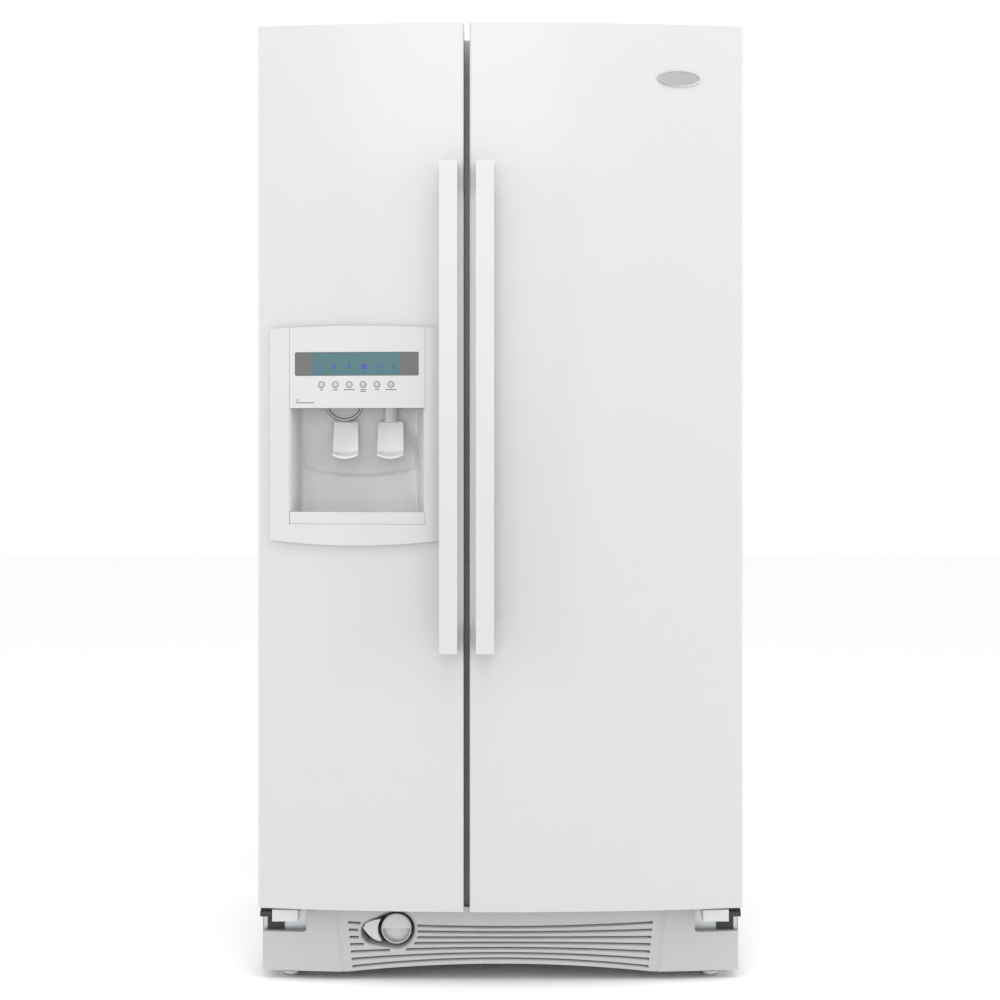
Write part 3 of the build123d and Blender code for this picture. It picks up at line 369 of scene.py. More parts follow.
FINISHES = {  # colour, roughness, and what else differs from the usual
    "white_enamel": (grey(0.502), 0.3, dict(coat=0.25, grain=(1100, 0.012), tone=0.008)),
    "white_moulding": (grey(0.51), 0.34, dict(coat=0.15, grain=(2400, 0.01), tone=0.01)),
    "white_liner": ((0.68, 0.69, 0.695), 0.33, dict(grain=(420, 0.03), tone=0.01)),
    "door_liner": ((0.62, 0.63, 0.635), 0.34, dict(grain=(420, 0.03), tone=0.012)),
    "foam": ((0.78, 0.66, 0.36), 0.9, dict(grain=(600, 0.5), tone=0.08)),
    "gasket": ((0.62, 0.63, 0.63), 0.55, dict(grain=(1800, 0.03), tone=0.03)),
    "galvanised": ((0.5, 0.52, 0.53), 0.38, dict(metallic=1.0, grain=(160, 0.02), tone=0.14, haze=0.1)),
    "fibre_board": ((0.11, 0.1, 0.09), 0.8, dict(grain=(900, 0.12), tone=0.12)),
    "hinge_steel": ((0.02, 0.02, 0.022), 0.42, dict(grain=(1600, 0.03), tone=0.1)),
    "black_steel": ((0.02, 0.02, 0.022), 0.3, dict(coat=0.3, grain=(500, 0.05), tone=0.1)),
    "black_plastic": ((0.025, 0.025, 0.027), 0.5, dict(grain=(2200, 0.03), tone=0.08)),
    "aluminium_fins": ((0.7, 0.71, 0.73), 0.34, dict(metallic=1.0, grain=(900, 0.02), tone=0.05)),
    "auger_steel": ((0.55, 0.56, 0.57), 0.3,
                    dict(metallic=1.0, grain=(700, 0.02), stretch=(1, 0.05, 1), tone=0.06)),
    "zinc": ((0.58, 0.58, 0.56), 0.34, dict(metallic=1.0, grain=(600, 0.02), tone=0.08)),
    "roller_nylon": ((0.62, 0.61, 0.57), 0.5, dict(grain=(900, 0.04), tone=0.04, dirt=0.08)),
    "shelf_glass": ((0.86, 0.93, 0.9), 0.03, dict(grain=(60, 0.002), tone=0.005, haze=0.01, clear=1.0)),
    "white_wire": ((0.74, 0.75, 0.75), 0.38, dict(coat=0.2, grain=(900, 0.06), tone=0.02)),
    "clear_plastic": ((0.88, 0.92, 0.93), 0.08,
                      dict(grain=(500, 0.006), tone=0.01, haze=0.03, clear=0.9, ior=1.46)),
    "white_plastic": ((0.68, 0.69, 0.7), 0.4, dict(grain=(1500, 0.03), tone=0.015)),
    "paddle_plastic": (grey(0.675), 0.28, dict(coat=0.3, grain=(1800, 0.006), tone=0.01)),
    "button_grey": (grey(0.42), 0.35, dict(grain=(2600, 0.01), tone=0.03)),
    "display": (grey(0.108), 0.4, dict(grain=(900, 0.002), tone=0.02)),
    "badge_chrome": ((0.52, 0.52, 0.53), 0.2, dict(metallic=1.0, grain=(1500, 0.006), tone=0.03)),
    # The chute grey is painted shade: a darker grey that stands for the shade inside the ice chute, used on
    # its flap and rim.
    "chute_painted_shade": (grey(0.36), 0.45, dict(grain=(2000, 0.01), tone=0.02)),
    "hollow_white": (grey(0.515), 0.36, dict(grain=(2400, 0.01), tone=0.01)),
    "grille_white": (grey(0.438), 0.42, dict(grain=(2400, 0.015), tone=0.015)),
    "lcd": ((0.052, 0.13, 0.14), 0.35, dict(grain=(2800, 0.002), tone=0.16)),
    "lcd_ink": ((0.05, 0.055, 0.3), 0.35, dict(grain=(2800, 0.002), tone=0.1)),
    "print_grey": ((0.1, 0.1, 0.105), 0.5, dict(grain=(2800, 0.004), tone=0.1)),
    # The dark seam colour is painted shade: near black put in gaps and hollows that are dark only because
    # light does not reach into them.
    "painted_shade_dark": ((0.03, 0.03, 0.032), 0.6, dict(grain=(900, 0.01), tone=0.1)),
}
MATERIALS = {
    name: finish_material(name, colour, rough, **others)
    for name, (colour, rough, others) in FINISHES.items()
}


def shown(name, node_name, bm, material=None, angle=40):
    """A piece that stands for one CAD node and takes its body and slot."""
    slot = SLOT_OF[node_name]
    return piece(name, bm, BODY_OF[node_name], MATERIALS[material or slot], (node_name,), angle)


# The chute's flap is given the chute grey of painted shade in place of its own colour.
RECOLOURED = {"chute_flap": "chute_painted_shade"}
SAME_POINT = 0.01 * MM
SHARP = radians(50)
ROUNDED = {  # edge radius in mm
    "cabinet_shell": 0.4, "hinge_covers": 0.6, "door_hinges": 0.5, "base_frame": 0.5, "machine_cover": 0.6,
    "crisper_upper": 0.9, "crisper_lower": 0.9, "freezer_basket": 0.9, "ice_bin": 0.9, "dairy_cover": 0.8,
    "freezer_door_bins": 0.8, "fridge_door_bins": 0.8, "shelf_frames": 1.2, "shelf_glass": 0.8,
    "ice_maker": 1.5, "evaporator_cover": 1.0, "freezer_liner": 0.8, "fridge_liner": 0.8,
    "freezer_door_gasket": 1.0, "fridge_door_gasket": 1.0, "condenser_fan_frame": 0.5,
    "freezer_shelves": 0.6, "ice_chute": 0.6, "levelling_leg_left": 0.6, "levelling_leg_right": 0.6,
    "freezer_door_liner": 1.2, "fridge_door_liner": 1.2,
}


def paint_nodes():
    """Gives every CAD node its material, and rounds the sharp edges of the nodes listed in ROUNDED a little.
    """
    for name, obj in NODES.items():
        obj.data.materials.clear()
        obj.data.materials.append(None)
        obj.material_slots[0].link = "OBJECT"
        obj.material_slots[0].material = MATERIALS[RECOLOURED.get(name, SLOT_OF[name])]
        if name in ROUNDED:
            obj.modifiers.new("weld", "WELD").merge_threshold = SAME_POINT
            bevel = obj.modifiers.new("rounding", "BEVEL")
            bevel.width, bevel.segments = ROUNDED[name] * MM, 2
            bevel.limit_method, bevel.angle_limit = "ANGLE", SHARP
            bevel.harden_normals = bevel.use_clamp_overlap = True


# ---------------------------------------------------------------- doors
CORNER, ROLLED_EDGE = 5 * MM, 2 * MM  # of a door's outer panel
LINER_FLANGE = 4 * MM
FRONT_STEPS = 56
LEAF_WIDTH, LEAF_THICK = 73 * MM, 7 * MM  # of the notch that an upper hinge's leaf sits in
POST_TALL, BAR_THICK, BAR_EDGE = 52 * MM, 19 * MM, 2.4 * MM  # of a handle
BAR_CORNER, POST_FILLET, FOOT_CORNER = 3 * MM, 14 * MM, 0.5 * MM


def door_panel(x0, x1):
    """A door's bowed outer panel, as a closed shape with rolled edges."""
    back = DOOR_BACK - LINER_FLANGE
    corners = [(x0, back), (x0, front(x0))]
    corners += [(x, front(x)) for x in spread(x0, x1, FRONT_STEPS)[1:-1]]
    corners += [(x1, front(x1)), (x1, back)]
    radii = [0.0, CORNER] + [0.0] * (FRONT_STEPS - 1) + [CORNER, 0.0]
    outline = rounded(corners, radii, 6)
    bm = slab([outline], DOOR_TOP - DOOR_LOW, ROLLED_EDGE, both=True)
    return placed(bm, lambda u, v, w: (u, v, DOOR_LOW + w))


def hinge_notch(side):
    """What the upper hinge's leaf needs cut out of a door's top corner."""
    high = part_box("door_hinges")[1]
    past = 5 * MM
    leaf = Vector((high.x - LEAF_WIDTH, front(DOOR_HALF) + 3.5 * MM, high.z - LEAF_THICK))
    x0, x1 = sorted((side * leaf.x, side * (DOOR_HALF + past)))
    return block((x0, leaf.y, leaf.z), (x1, DOOR_BACK + past, DOOR_TOP + past), 2 * MM)


def make_doors():
    """Both doors' outer panels, with a window for the dispenser in the freezer's."""
    low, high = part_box("freezer_door_skin")
    freezer = shown("freezer_door_panel", "freezer_door_skin", door_panel(low.x, high.x))
    tub_low, tub_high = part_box("dispenser_recess")
    margin, past = 2 * MM, 50 * MM
    window = block((tub_low.x - margin, APEX - past, tub_low.z - margin),
                   (tub_high.x + margin, DOOR_BACK + past, tub_high.z + margin), 0.5 * MM)
    cut(freezer, window, hinge_notch(-1))
    low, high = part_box("fridge_door_skin")
    fridge = shown("fridge_door_panel", "fridge_door_skin", door_panel(low.x, high.x))
    cut(fridge, hinge_notch(1))


def make_handle(node_name):
    """A square-edged bar with a post at each end."""
    low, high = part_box(node_name)
    base, inner = front((low.x + high.x) / 2), low.y + BAR_THICK
    post_low, post_high = low.z + POST_TALL, high.z - POST_TALL
    outline = [(low.y, low.z), (low.y, high.z), (base, high.z), (base, post_high)]
    outline += [(inner, post_high), (inner, post_low), (base, post_low), (base, low.z)]
    feet = [FOOT_CORNER, FOOT_CORNER]
    radii = [BAR_CORNER, BAR_CORNER, *feet, POST_FILLET, POST_FILLET, *feet]
    bm = slab([rounded(outline, radii, 8)], high.x - low.x, BAR_EDGE, both=True, segments=4)
    shown(node_name + "_bar", node_name, placed(bm, lambda u, v, w: (low.x + w, u, v)))


# Share of the way out from the middle, and height in mm.
BADGE_PROFILE = [(1.0, 0.0), (1.0, 1.8), (0.985, 2.6), (0.95, 3.0), (0.915, 2.8), (0.89, 2.0), (0.88, 1.7),
                 (0.6, 2.0), (0.3, 2.2), (0.0, 2.3)]


def make_badge():
    """A plain oval plate with a raised rim."""
    low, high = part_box("badge")
    mid_x, mid_z = middle_of("badge")
    wide, tall = (high.x - low.x) / 2, (high.z - low.z) / 2
    rows = []
    for share, height in BADGE_PROFILE:
        inset = (1 - share) * tall
        across, up = (wide - inset, tall - inset) if share else (0, 0)
        row = []
        for a in spread(0, 2 * pi, 72)[:-1]:
            x = mid_x + across * cos(a)
            row.append((x, front(x, height * MM), mid_z + up * sin(a)))
        rows.append(row)
    shown("badge_plate", "badge", grid(rows, closed=True))


# ---------------------------------------------------------------- dispenser
BEZEL_LOW, BEZEL_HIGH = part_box("dispenser_bezel")
PANEL_LOW, PANEL_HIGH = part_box("control_panel")
BEZEL_RISE, BEZEL_DROP = 5 * MM, 9.5 * MM
BEZEL_PROUD, PANEL_PROUD = 9.6 * MM, 9.3 * MM
BEZEL_THICK, BEZEL_EDGE = 11 * MM, 2.4 * MM
LEFT_ROLL, LEFT_ROLL_WIDTH = 3.6 * MM, 32 * MM
RIGHT_ROLL, RIGHT_ROLL_WIDTH = 2 * MM, 20 * MM
SEAM = 0.4 * MM


def bezel_y(x, w):
    """The surround's surface: it rolls back towards its two sides."""
    left, right = x - BEZEL_LOW.x, BEZEL_HIGH.x - x
    roll = LEFT_ROLL * (1 - smooth(left, 0, LEFT_ROLL_WIDTH))
    roll += RIGHT_ROLL * (1 - smooth(right, 0, RIGHT_ROLL_WIDTH))
    return front(x, BEZEL_PROUD - roll) + w


def make_bezel():
    """The dispenser's surround: two sides and a foot, whose middle the control panel completes."""
    x0, x1 = BEZEL_LOW.x, BEZEL_HIGH.x
    z0, z1 = BEZEL_LOW.z + BEZEL_DROP, BEZEL_HIGH.z - BEZEL_RISE
    left, right = PANEL_LOW.x - SEAM, PANEL_HIGH.x + SEAM
    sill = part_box("drip_tray")[0].z - SEAM
    outline = arc_line((x0, z0), (x1, z0), -BEZEL_DROP)
    outline += arc_line((x1, z1), (x0, z1), BEZEL_RISE, 60)
    top = [p for p in outline if p[1] > z1 - 1 * MM]
    outline = [p for p in outline if p[1] <= z1 - 1 * MM]
    outline += [p for p in top if p[0] > right] + [(right, bezel_top(right)), (right, sill)]
    outline += [(left, sill), (left, bezel_top(left))] + [p for p in top if p[0] < left]
    cuts = spread(x0, PANEL_LOW.x - 1 * MM, 16)[1:] + spread(PANEL_LOW.x, PANEL_HIGH.x, 24)
    cuts += spread(PANEL_HIGH.x + 1 * MM, x1, 10)[:-1]
    bm = slab([outline], BEZEL_THICK, BEZEL_EDGE, cuts, 5)
    shown("dispenser_surround", "dispenser_bezel", placed(bm, lambda u, v, w: (u, bezel_y(u, w), v)))


def bezel_top(x):
    """Height of the surround's top edge at x."""
    share = (x - BEZEL_LOW.x) / (BEZEL_HIGH.x - BEZEL_LOW.x)
    return BEZEL_HIGH.z - BEZEL_RISE + BEZEL_RISE * 4 * share * (1 - share)


BUTTONS = range(1, 7)
CAP_R = 5 * MM
LENS_CORNER, LENS_GAP = 3.5 * MM, 0.5 * MM
SCREEN_LEFT, SCREEN_RIGHT, SCREEN_RIM = 31 * MM, 34 * MM, 1 * MM  # from the lens's edges to the screen's
LENS_BACK, SCREEN_BACK, ICON_BACK, PRINT_FORE = 0.7 * MM, 0.62 * MM, 0.56 * MM, 0.04 * MM
# In mm: past the cap's radius, and height.
CAP_PROFILE = [(1.2, -8), (1.2, -6), (0, -5), (0, -0.9), (-0.25, -0.35), (-0.8, -0.05)]


def panel_outline():
    """The control panel's edge, with its two lower corners rounded and its top bowed with the surround's."""
    left, right = PANEL_LOW.x, PANEL_HIGH.x
    corners = [(left, PANEL_LOW.z), (right, PANEL_LOW.z), (right, bezel_top(right)), (left, bezel_top(left))]
    outline = rounded(corners, [2.5 * MM, 2.5 * MM, 0, 0])
    return outline[:-1] + [(x, bezel_top(x)) for x in spread(right, left, 30)[1:]]


def make_buttons():
    """The six caps, and a near black ring of painted shade in the gap round each. Gives the holes that the
    panel needs.
    """
    holes, gaps = [], []
    for index in BUTTONS:
        x, z = middle_of(f"button_{index}")
        place = facing(x, front(x, PANEL_PROUD + 0.8 * MM), z)
        profile = [(CAP_R + r * MM, height * MM) for r, height in CAP_PROFILE]
        cap = lathe(profile + [(CAP_R * 0.5, 0.0), (0, -0.1 * MM)], place, 32)
        shown(f"button_cap_{index}", f"button_{index}", cap)
        holes.append(circle(x, z, CAP_R + 1.0 * MM))
        gaps.append(slab([circle(x, z, CAP_R + 1.1 * MM), circle(x, z, CAP_R + 0.1 * MM)], 1 * MM))
    return holes, on_front(join(*gaps), PANEL_PROUD - 1.0 * MM)


def make_panel():
    """The control panel, its display window and its buttons."""
    lens_low, lens_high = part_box("display_window")
    lens = oblong(lens_low.x, lens_low.z, lens_high.x, lens_high.z)
    window = rounded([(x + (LENS_GAP if x > 0 else 0), z) for x, z in lens], LENS_CORNER)
    holes, wells = make_buttons()
    cuts = spread(PANEL_LOW.x, PANEL_HIGH.x, 40)[1:-1]
    bm = slab([panel_outline(), window, *holes], 7 * MM, 0.9 * MM, cuts, 3)
    shown("control_panel_face", "control_panel", on_front(bm, PANEL_PROUD), angle=50)

    body, slot = BODY_OF["control_panel"], SLOT_OF["display_window"]
    bm = slab([window], 3 * MM, 0.4 * MM, spread(lens_low.x, lens_high.x, 30)[1:-1], 2)
    shown("display_lens", "display_window", on_front(bm, PANEL_PROUD - LENS_BACK))
    # Near black rings of painted shade in the gaps round the buttons.
    piece("button_gap_shade", wells, body, MATERIALS["painted_shade_dark"])

    x0, x1 = lens_low.x + SCREEN_LEFT, lens_high.x - SCREEN_RIGHT
    screen = rounded(oblong(x0, lens_low.z + SCREEN_RIM, x1, lens_high.z - SCREEN_RIM), 0.8 * MM)
    bm = slab([screen], 0.5 * MM, 0.05 * MM, spread(x0, x1, 20)[1:-1], 1)
    piece("display_screen", on_front(bm, PANEL_PROUD - SCREEN_BACK), body, MATERIALS["lcd"])
    icons = on_front(make_icons(x0, x1, lens_low.z), PANEL_PROUD - ICON_BACK)
    piece("display_marks", icons, body, MATERIALS["lcd_ink"])
    prints = on_front(make_prints(), PANEL_PROUD + PRINT_FORE)
    piece("printed_marks", prints, body, MATERIALS["print_grey"])


LABEL_HALVES = ((3,), (5,), (10,), (5, 5), (4,), (10,))  # of the marks under each button, in mm
INK = 0.3 * MM
BAR, BAR_PITCH = 1.6 * MM, 3 * MM  # height of a printed bar, and from one to the next
RING_ICONS, SQUARE_ICON, DROP_ICON = (0, 4), 3, 1


def icon(index, x, mid):
    """The outline of one generic mark on the screen."""
    if index in RING_ICONS:
        return [circle(x, mid, 4.6 * MM), circle(x, mid, 3.4 * MM)]
    if index == DROP_ICON:
        return [circle(x, mid, 2.8 * MM, squash=1.5)]
    half, tall = (5 if index == SQUARE_ICON else 1.5) * MM, 5 * MM
    return [rounded(oblong(x - half, mid - tall, x + half, mid + tall), 1 * MM)]


def make_icons(x0, x1, z0):
    """Generic marks on the screen, each over a short bar."""
    pitch, mid, half = (x1 - x0) / 6, z0 + 17 * MM, 6 * MM
    loops = []
    for index in range(6):
        x = x0 + (index + 0.55) * pitch
        loops.append([oblong(x - half, z0 + 5.5 * MM, x + half, z0 + 6.6 * MM)])
        loops.append(icon(index, x, mid))
    return join(*[slab(loop, INK) for loop in loops])


def make_prints():
    """Plain bars under the buttons, and one more under a ring in the panel's lower corner."""
    bars = []
    for index, halves in zip(BUTTONS, LABEL_HALVES):
        x, z = middle_of(f"button_{index}")[0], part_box(f"button_{index}")[0].z - 3.5 * MM
        for row, half in enumerate(halves):
            top = z - row * BAR_PITCH
            bars.append(oblong(x - half * MM, top, x + half * MM, top + BAR))
    x, z = PANEL_LOW.x + 16 * MM, PANEL_LOW.z + 9 * MM
    bars.append(oblong(x - 4 * MM, z, x + 30 * MM, z + BAR))
    marks = [slab([bar], INK, 0, spread(bar[0][0], bar[1][0], 8)[1:-1]) for bar in bars]
    ring_x, ring_z = x - 1 * MM, z + 5.5 * MM
    marks.append(slab([circle(ring_x, ring_z, 2.6 * MM), circle(ring_x, ring_z, 1.8 * MM)], INK))
    return join(*marks)


TUB_LOW, TUB_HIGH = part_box("dispenser_recess")
TUB_BACK, TUB_FLOOR, TUB_TOP = TUB_HIGH.y - 3 * MM, TUB_LOW.z + 2.5 * MM, PANEL_LOW.z + 2 * MM
TUB_LEFT, TUB_RIGHT = TUB_LOW.x + 2.5 * MM, TUB_HIGH.x - 2.5 * MM
TUB_MID = (TUB_LEFT + TUB_RIGHT) / 2
TUB_CORNER, TUB_DRAFT, TUB_FLARE = 28 * MM, 11 * MM, 2 * MM
LEDGE_LOW, LEDGE_HIGH = 943 * MM, 956 * MM
LEDGE_HALF = (TUB_RIGHT - TUB_LEFT) / 2 - 24 * MM
LEDGE_DEEP, LEAN, OVERHANG = 4 * MM, 7 * MM, 10 * MM


def mouth(x):
    """Where the hollow's side walls begin."""
    return front(x, 6 * MM)


def tub_path():
    """The hollow's wall seen from above: a drafted side, a round corner, the back, and the same again."""
    bend_y, rim, bend = TUB_BACK - TUB_CORNER, 0.5 * MM, spread(0, pi / 2, 10)[1:]
    left, right = TUB_LEFT + TUB_DRAFT + TUB_CORNER, TUB_RIGHT - TUB_DRAFT - TUB_CORNER
    near_left, near_right = mouth(TUB_LEFT) + TUB_FLARE, mouth(TUB_RIGHT) + TUB_FLARE
    path = [(TUB_LOW.x + 0.2 * MM, mouth(TUB_LEFT) - rim)]
    path += [(TUB_LEFT + TUB_DRAFT * s, near_left + (bend_y - near_left) * s) for s in spread(0, 1, 6)]
    path += [(left - TUB_CORNER * cos(a), bend_y + TUB_CORNER * sin(a)) for a in bend]
    path += [(x, TUB_BACK) for x in spread(left, right, 30)[1:]]
    path += [(right + TUB_CORNER * sin(a), bend_y + TUB_CORNER * cos(a)) for a in bend]
    path += [(TUB_RIGHT - TUB_DRAFT * s, near_right + (bend_y - near_right) * s) for s in spread(1, 0, 6)[1:]]
    path += [(TUB_HIGH.x - 0.2 * MM, mouth(TUB_RIGHT) - rim)]
    return path


def tub_forward(x, z):
    """How far the hollow's back comes forwards: its ledge, the lean below that and the overhang above."""
    across = max(-1.0, min(1.0, (x - TUB_MID) / LEDGE_HALF))
    ledge = LEDGE_HIGH - (LEDGE_HIGH - LEDGE_LOW) * (1 - across * across)
    inside = smooth(LEDGE_HALF + 14 * MM - abs(x - TUB_MID), 0, 16 * MM)
    below = 1 - smooth(z, ledge - 5 * MM, ledge + 4 * MM)
    lean = LEDGE_DEEP + LEAN * max(0.0, (LEDGE_LOW - z) / (LEDGE_LOW - TUB_FLOOR))
    return inside * (below * lean + OVERHANG * smooth(z, LEDGE_HIGH, TUB_TOP))


def make_recess():
    """The dispenser's hollow, with round back corners and a smile-shaped ledge in its back wall."""
    path, centre_y = tub_path(), mouth(TUB_LEFT)
    near_ledge = spread(LEDGE_LOW - 8 * MM, LEDGE_HIGH + 8 * MM, 50)
    heights = sorted(set(spread(TUB_FLOOR, TUB_TOP, 50) + near_ledge))
    sheets = [grid([[(x, y - tub_forward(x, z), z) for x, y in path] for z in heights])]
    for level in (TUB_TOP, TUB_FLOOR):
        half_way = [((x - TUB_MID) * 0.5 + TUB_MID, (y + centre_y) / 2, level) for x, y in path]
        sheets.append(grid([[(x, y, level) for x, y in path], half_way]))
    tub = shown("dispenser_hollow", "dispenser_recess", join(*sheets), "hollow_white", 55)
    thicken(tub, 1.5 * MM, 1.0)
    make_pivots()


NOZZLE_PROFILE = [(12, 0), (12, 23), (11, 27), (6, 28.5), (4, 28.5), (4, 20)]  # mm, from its root down


def make_pivots():
    """Two ears for each paddle's barrel, and the water nozzle."""
    parts = []
    reach, thick, tall = 10.6 * MM, 1 * MM, 4 * MM
    for node_name in ("ice_paddle", "water_paddle"):
        low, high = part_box(node_name)
        x, y, z = (low.x + high.x) / 2, high.y - 6 * MM, high.z - 5 * MM
        for ear in (x - reach, x + reach):
            far = TUB_BACK + 1 * MM
            parts.append(block((ear - thick, y, z - tall), (ear + thick, far, z + tall), 0.5 * MM))
    place = Matrix.Translation((middle_of("water_paddle")[0], TUB_BACK - 19 * MM, TUB_TOP + 1 * MM))
    profile = [(radius * MM, height * MM) for radius, height in NOZZLE_PROFILE]
    parts.append(lathe(profile, place @ Matrix.Rotation(pi, 4, "X"), 36))
    body, slot = BODY_OF["dispenser_recess"], SLOT_OF["dispenser_recess"]
    piece("water_nozzle_and_pivots", join(*parts), body, MATERIALS["white_moulding"])


PLATE_STEPS_DOWN, PLATE_STEPS_ACROSS = 30, 24
PLATE_DROP, PLATE_TILT, PLATE_THICK = 65 * MM, radians(14), 2 * MM
BARREL_PROFILE = [(3.4, 0), (3.6, 0.3), (3.6, 17.7), (3.4, 18)]  # mm


def plate_point(s, t, half):
    """A paddle's plate, s down it and t across it: the offset sideways, back and up from its pivot."""
    bottom = 7 * MM * (1 - t * t)
    down = 3 * MM * (1 - s) ** 2 - (s * (PLATE_DROP - 1 * MM) + bottom * s)
    dish = 2.2 * MM * (1 - t * t) * (1 - smooth(s, 0.8, 0.86))
    lip = 6.5 * MM * smooth(s, 0.86, 0.96)
    depth = -5.5 * MM + dish - lip
    back = depth * cos(PLATE_TILT) + down * sin(PLATE_TILT)
    return half * t, back, down * cos(PLATE_TILT) - depth * sin(PLATE_TILT)


def make_paddle(node_name):
    """A dished press plate with a rolled lower lip, hanging from its barrel."""
    low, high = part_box(node_name)
    pivot = Vector(((low.x + high.x) / 2, high.y - 3.6 * MM, high.z - 5 * MM))
    rows = []
    for s in spread(0, 1, PLATE_STEPS_DOWN):
        half = (high.x - low.x) / 2 * (0.94 + 0.06 * s) - 3 * MM * (1 - smooth(s, -0.01, 0.05))
        rows.append([pivot + Vector(plate_point(s, t, half)) for t in spread(-1, 1, PLATE_STEPS_ACROSS)])
    plate = shown(node_name + "_plate", node_name, grid(rows), angle=50)
    thicken(plate, PLATE_THICK, 0.0)
    profile = [(radius * MM, height * MM) for radius, height in BARREL_PROFILE]
    barrel = lathe(profile, facing(pivot.x - 9 * MM, pivot.y, pivot.z, "X"), 24)
    near, far = Vector((-8 * MM, -5 * MM, -10 * MM)), Vector((8 * MM, -1 * MM, 2 * MM))
    neck = block(pivot + near, pivot + far, 1 * MM)
    body, slot = BODY_OF[node_name], SLOT_OF[node_name]
    piece(node_name + "_pivot", join(barrel, neck), body, MATERIALS["paddle_plastic"])


def make_tray():
    """The drip tray with its lip and a low grid of ribs in its well."""
    low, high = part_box("drip_tray")
    face = rounded(oblong(low.x, low.z, high.x, high.z), 1.2 * MM)
    lip = on_front(slab([face], 7 * MM, 1.2 * MM, spread(low.x, high.x, 30)[1:-1], 3), 8.6 * MM)
    x0, x1, back, top = low.x + 3.4 * MM, high.x - 3.4 * MM, high.y, high.z - 2.6 * MM
    wide, narrow = 30 * MM, 9 * MM  # of the pan's two cut corners
    outline = [(x, front(x, 3 * MM)) for x in spread(x0, x1, 24)]
    outline += [(x1, back - wide), (x1 - narrow, back - narrow), (x1 - wide, back)]
    outline += [(x0 + wide, back), (x0 + narrow, back - narrow), (x0, back - wide)]
    pan = placed(slab([outline], 9 * MM, 1 * MM), lambda u, v, w: (u, v, top - w))
    ribs = []
    for x in spread(x0 + 34 * MM, x1 - 34 * MM, 14):
        near, far = (x - 1 * MM, back - 62 * MM, top - 0.5 * MM), (x + 1 * MM, back - 14 * MM, top + 1.2 * MM)
        ribs.append(block(near, far, 0.4 * MM))
    shown("drip_tray_and_lip", "drip_tray", join(lip, pan, *ribs))


CHUTE_TILT, CHUTE_FORE = radians(25), 4.2 * MM
# The chute's rim takes the grey of painted shade, and the ring round it is near black painted shade that
# fills the gap.
CHUTE_RIMS = (  # name, material, and points (radius, height) in mm
    ("ice_chute_rim", "chute_painted_shade", [(31.3, -3), (31.4, 0.1), (31.6, 0.3), (34.7, 0.3), (34.7, -3)]),
    ("ice_chute_gap_shade", "painted_shade_dark", [(34.6, -2), (34.6, 0.6), (35.7, 0.6), (35.7, -2)]),
)


def make_chute():
    """A rolled rim on the ice chute's mouth in a grey of painted shade, and a near black ring of painted
    shade in the gap round it.
    """
    low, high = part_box("chute_flap")
    ahead = Vector((0, cos(CHUTE_TILT), sin(CHUTE_TILT)))
    place = Matrix.Translation((low + high) / 2 - ahead * CHUTE_FORE)
    place = place @ Matrix.Rotation(pi / 2 + CHUTE_TILT, 4, "X")
    for name, material, points in CHUTE_RIMS:
        rows = turned([(radius * MM, height * MM) for radius, height in points], place, 72)
        piece(name, grid(rows, closed=True), BODY_OF["ice_chute"], MATERIALS[material])


# ---------------------------------------------------------------- base grille
KNOB_LOW, KNOB_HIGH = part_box("filter_cap")
KNOB = (KNOB_LOW + KNOB_HIGH) / 2
KNOB_R, POCKET_R = (KNOB_HIGH.x - KNOB_LOW.x) / 2, 35 * MM
LOBE, LOBE_R = (-238 * MM, 90.5 * MM), 22.5 * MM
ARCH_HALF, ARCH_RISE = 285 * MM, 17.5 * MM
NOTCH = (363.5 * MM, 88.8 * MM)
SLOT_MID, SLOT_END = (102.2 * MM, 43.5 * MM), (108.4 * MM, 26.3 * MM)
SLOTS, SLOT_UP, SLOT_DOWN = 7, 1.6 * MM, 3.6 * MM
SLOT_INSET, SLOT_TAPER = 1 * MM, 8 * MM  # per end: first slot from the arch, last slot from the first
FEWEST_OPEN = 3  # samples; a shorter run isn't cut
BLADE = ((0.4, -4.2), (0.9, -3.4), (3.4, -2.0), (7.5, -0.7))  # mm behind the surface, and above mid slot
PLATE_PROUD, CREASE_X, CREASE_LEAN = 2.4 * MM, 294 * MM, 15 * MM


def slot_half(share):
    """Half the length of a slot, from the first at 0 to the last at 1."""
    return ARCH_HALF - SLOT_INSET - SLOT_TAPER * share


def slot_z(index, x):
    """Middle height of an air slot at x."""
    share = index / (SLOTS - 1)
    mid = SLOT_MID[0] + (SLOT_MID[1] - SLOT_MID[0]) * share
    end = SLOT_END[0] + (SLOT_END[1] - SLOT_END[0]) * share
    return mid + (end - mid) * (x / slot_half(share)) ** 2


def in_island(x, z, grow):
    """Whether a point is on the solid island round the filter knob."""
    a, b = Vector(LOBE), Vector((KNOB.x, KNOB.z))
    along = b - a
    share = min(1.0, max(0.0, (Vector((x, z)) - a).dot(along) / along.length_squared))
    radius = LOBE_R + (POCKET_R - LOBE_R) * share + grow
    return (Vector((x, z)) - a - along * share).length < radius


def slot_runs(index):
    """The stretches of x where a slot is open."""
    half = slot_half(index / (SLOTS - 1))
    runs = [[]]
    for x in spread(-half, half, 280):
        if in_island(x, slot_z(index, x), 6 * MM):
            runs.append([])
        else:
            runs[-1].append(x)
    return [(run[0], run[-1]) for run in runs if len(run) > FEWEST_OPEN]


def grille_y(x, z, w):
    """The grille's surface, with the middle part a little proud of its two ends."""
    crease = CREASE_X + CREASE_LEAN * z / GRILLE_HIGH.z
    return grille_front(x) + PLATE_PROUD * (1 - smooth(abs(x), crease - 2 * MM, crease + 1.5 * MM)) + w


def on_grille(bm, back):
    """Lays a slab on the bowed grille, moved back."""
    return placed(bm, lambda u, v, w: (u, grille_front(u) + back + w, v))


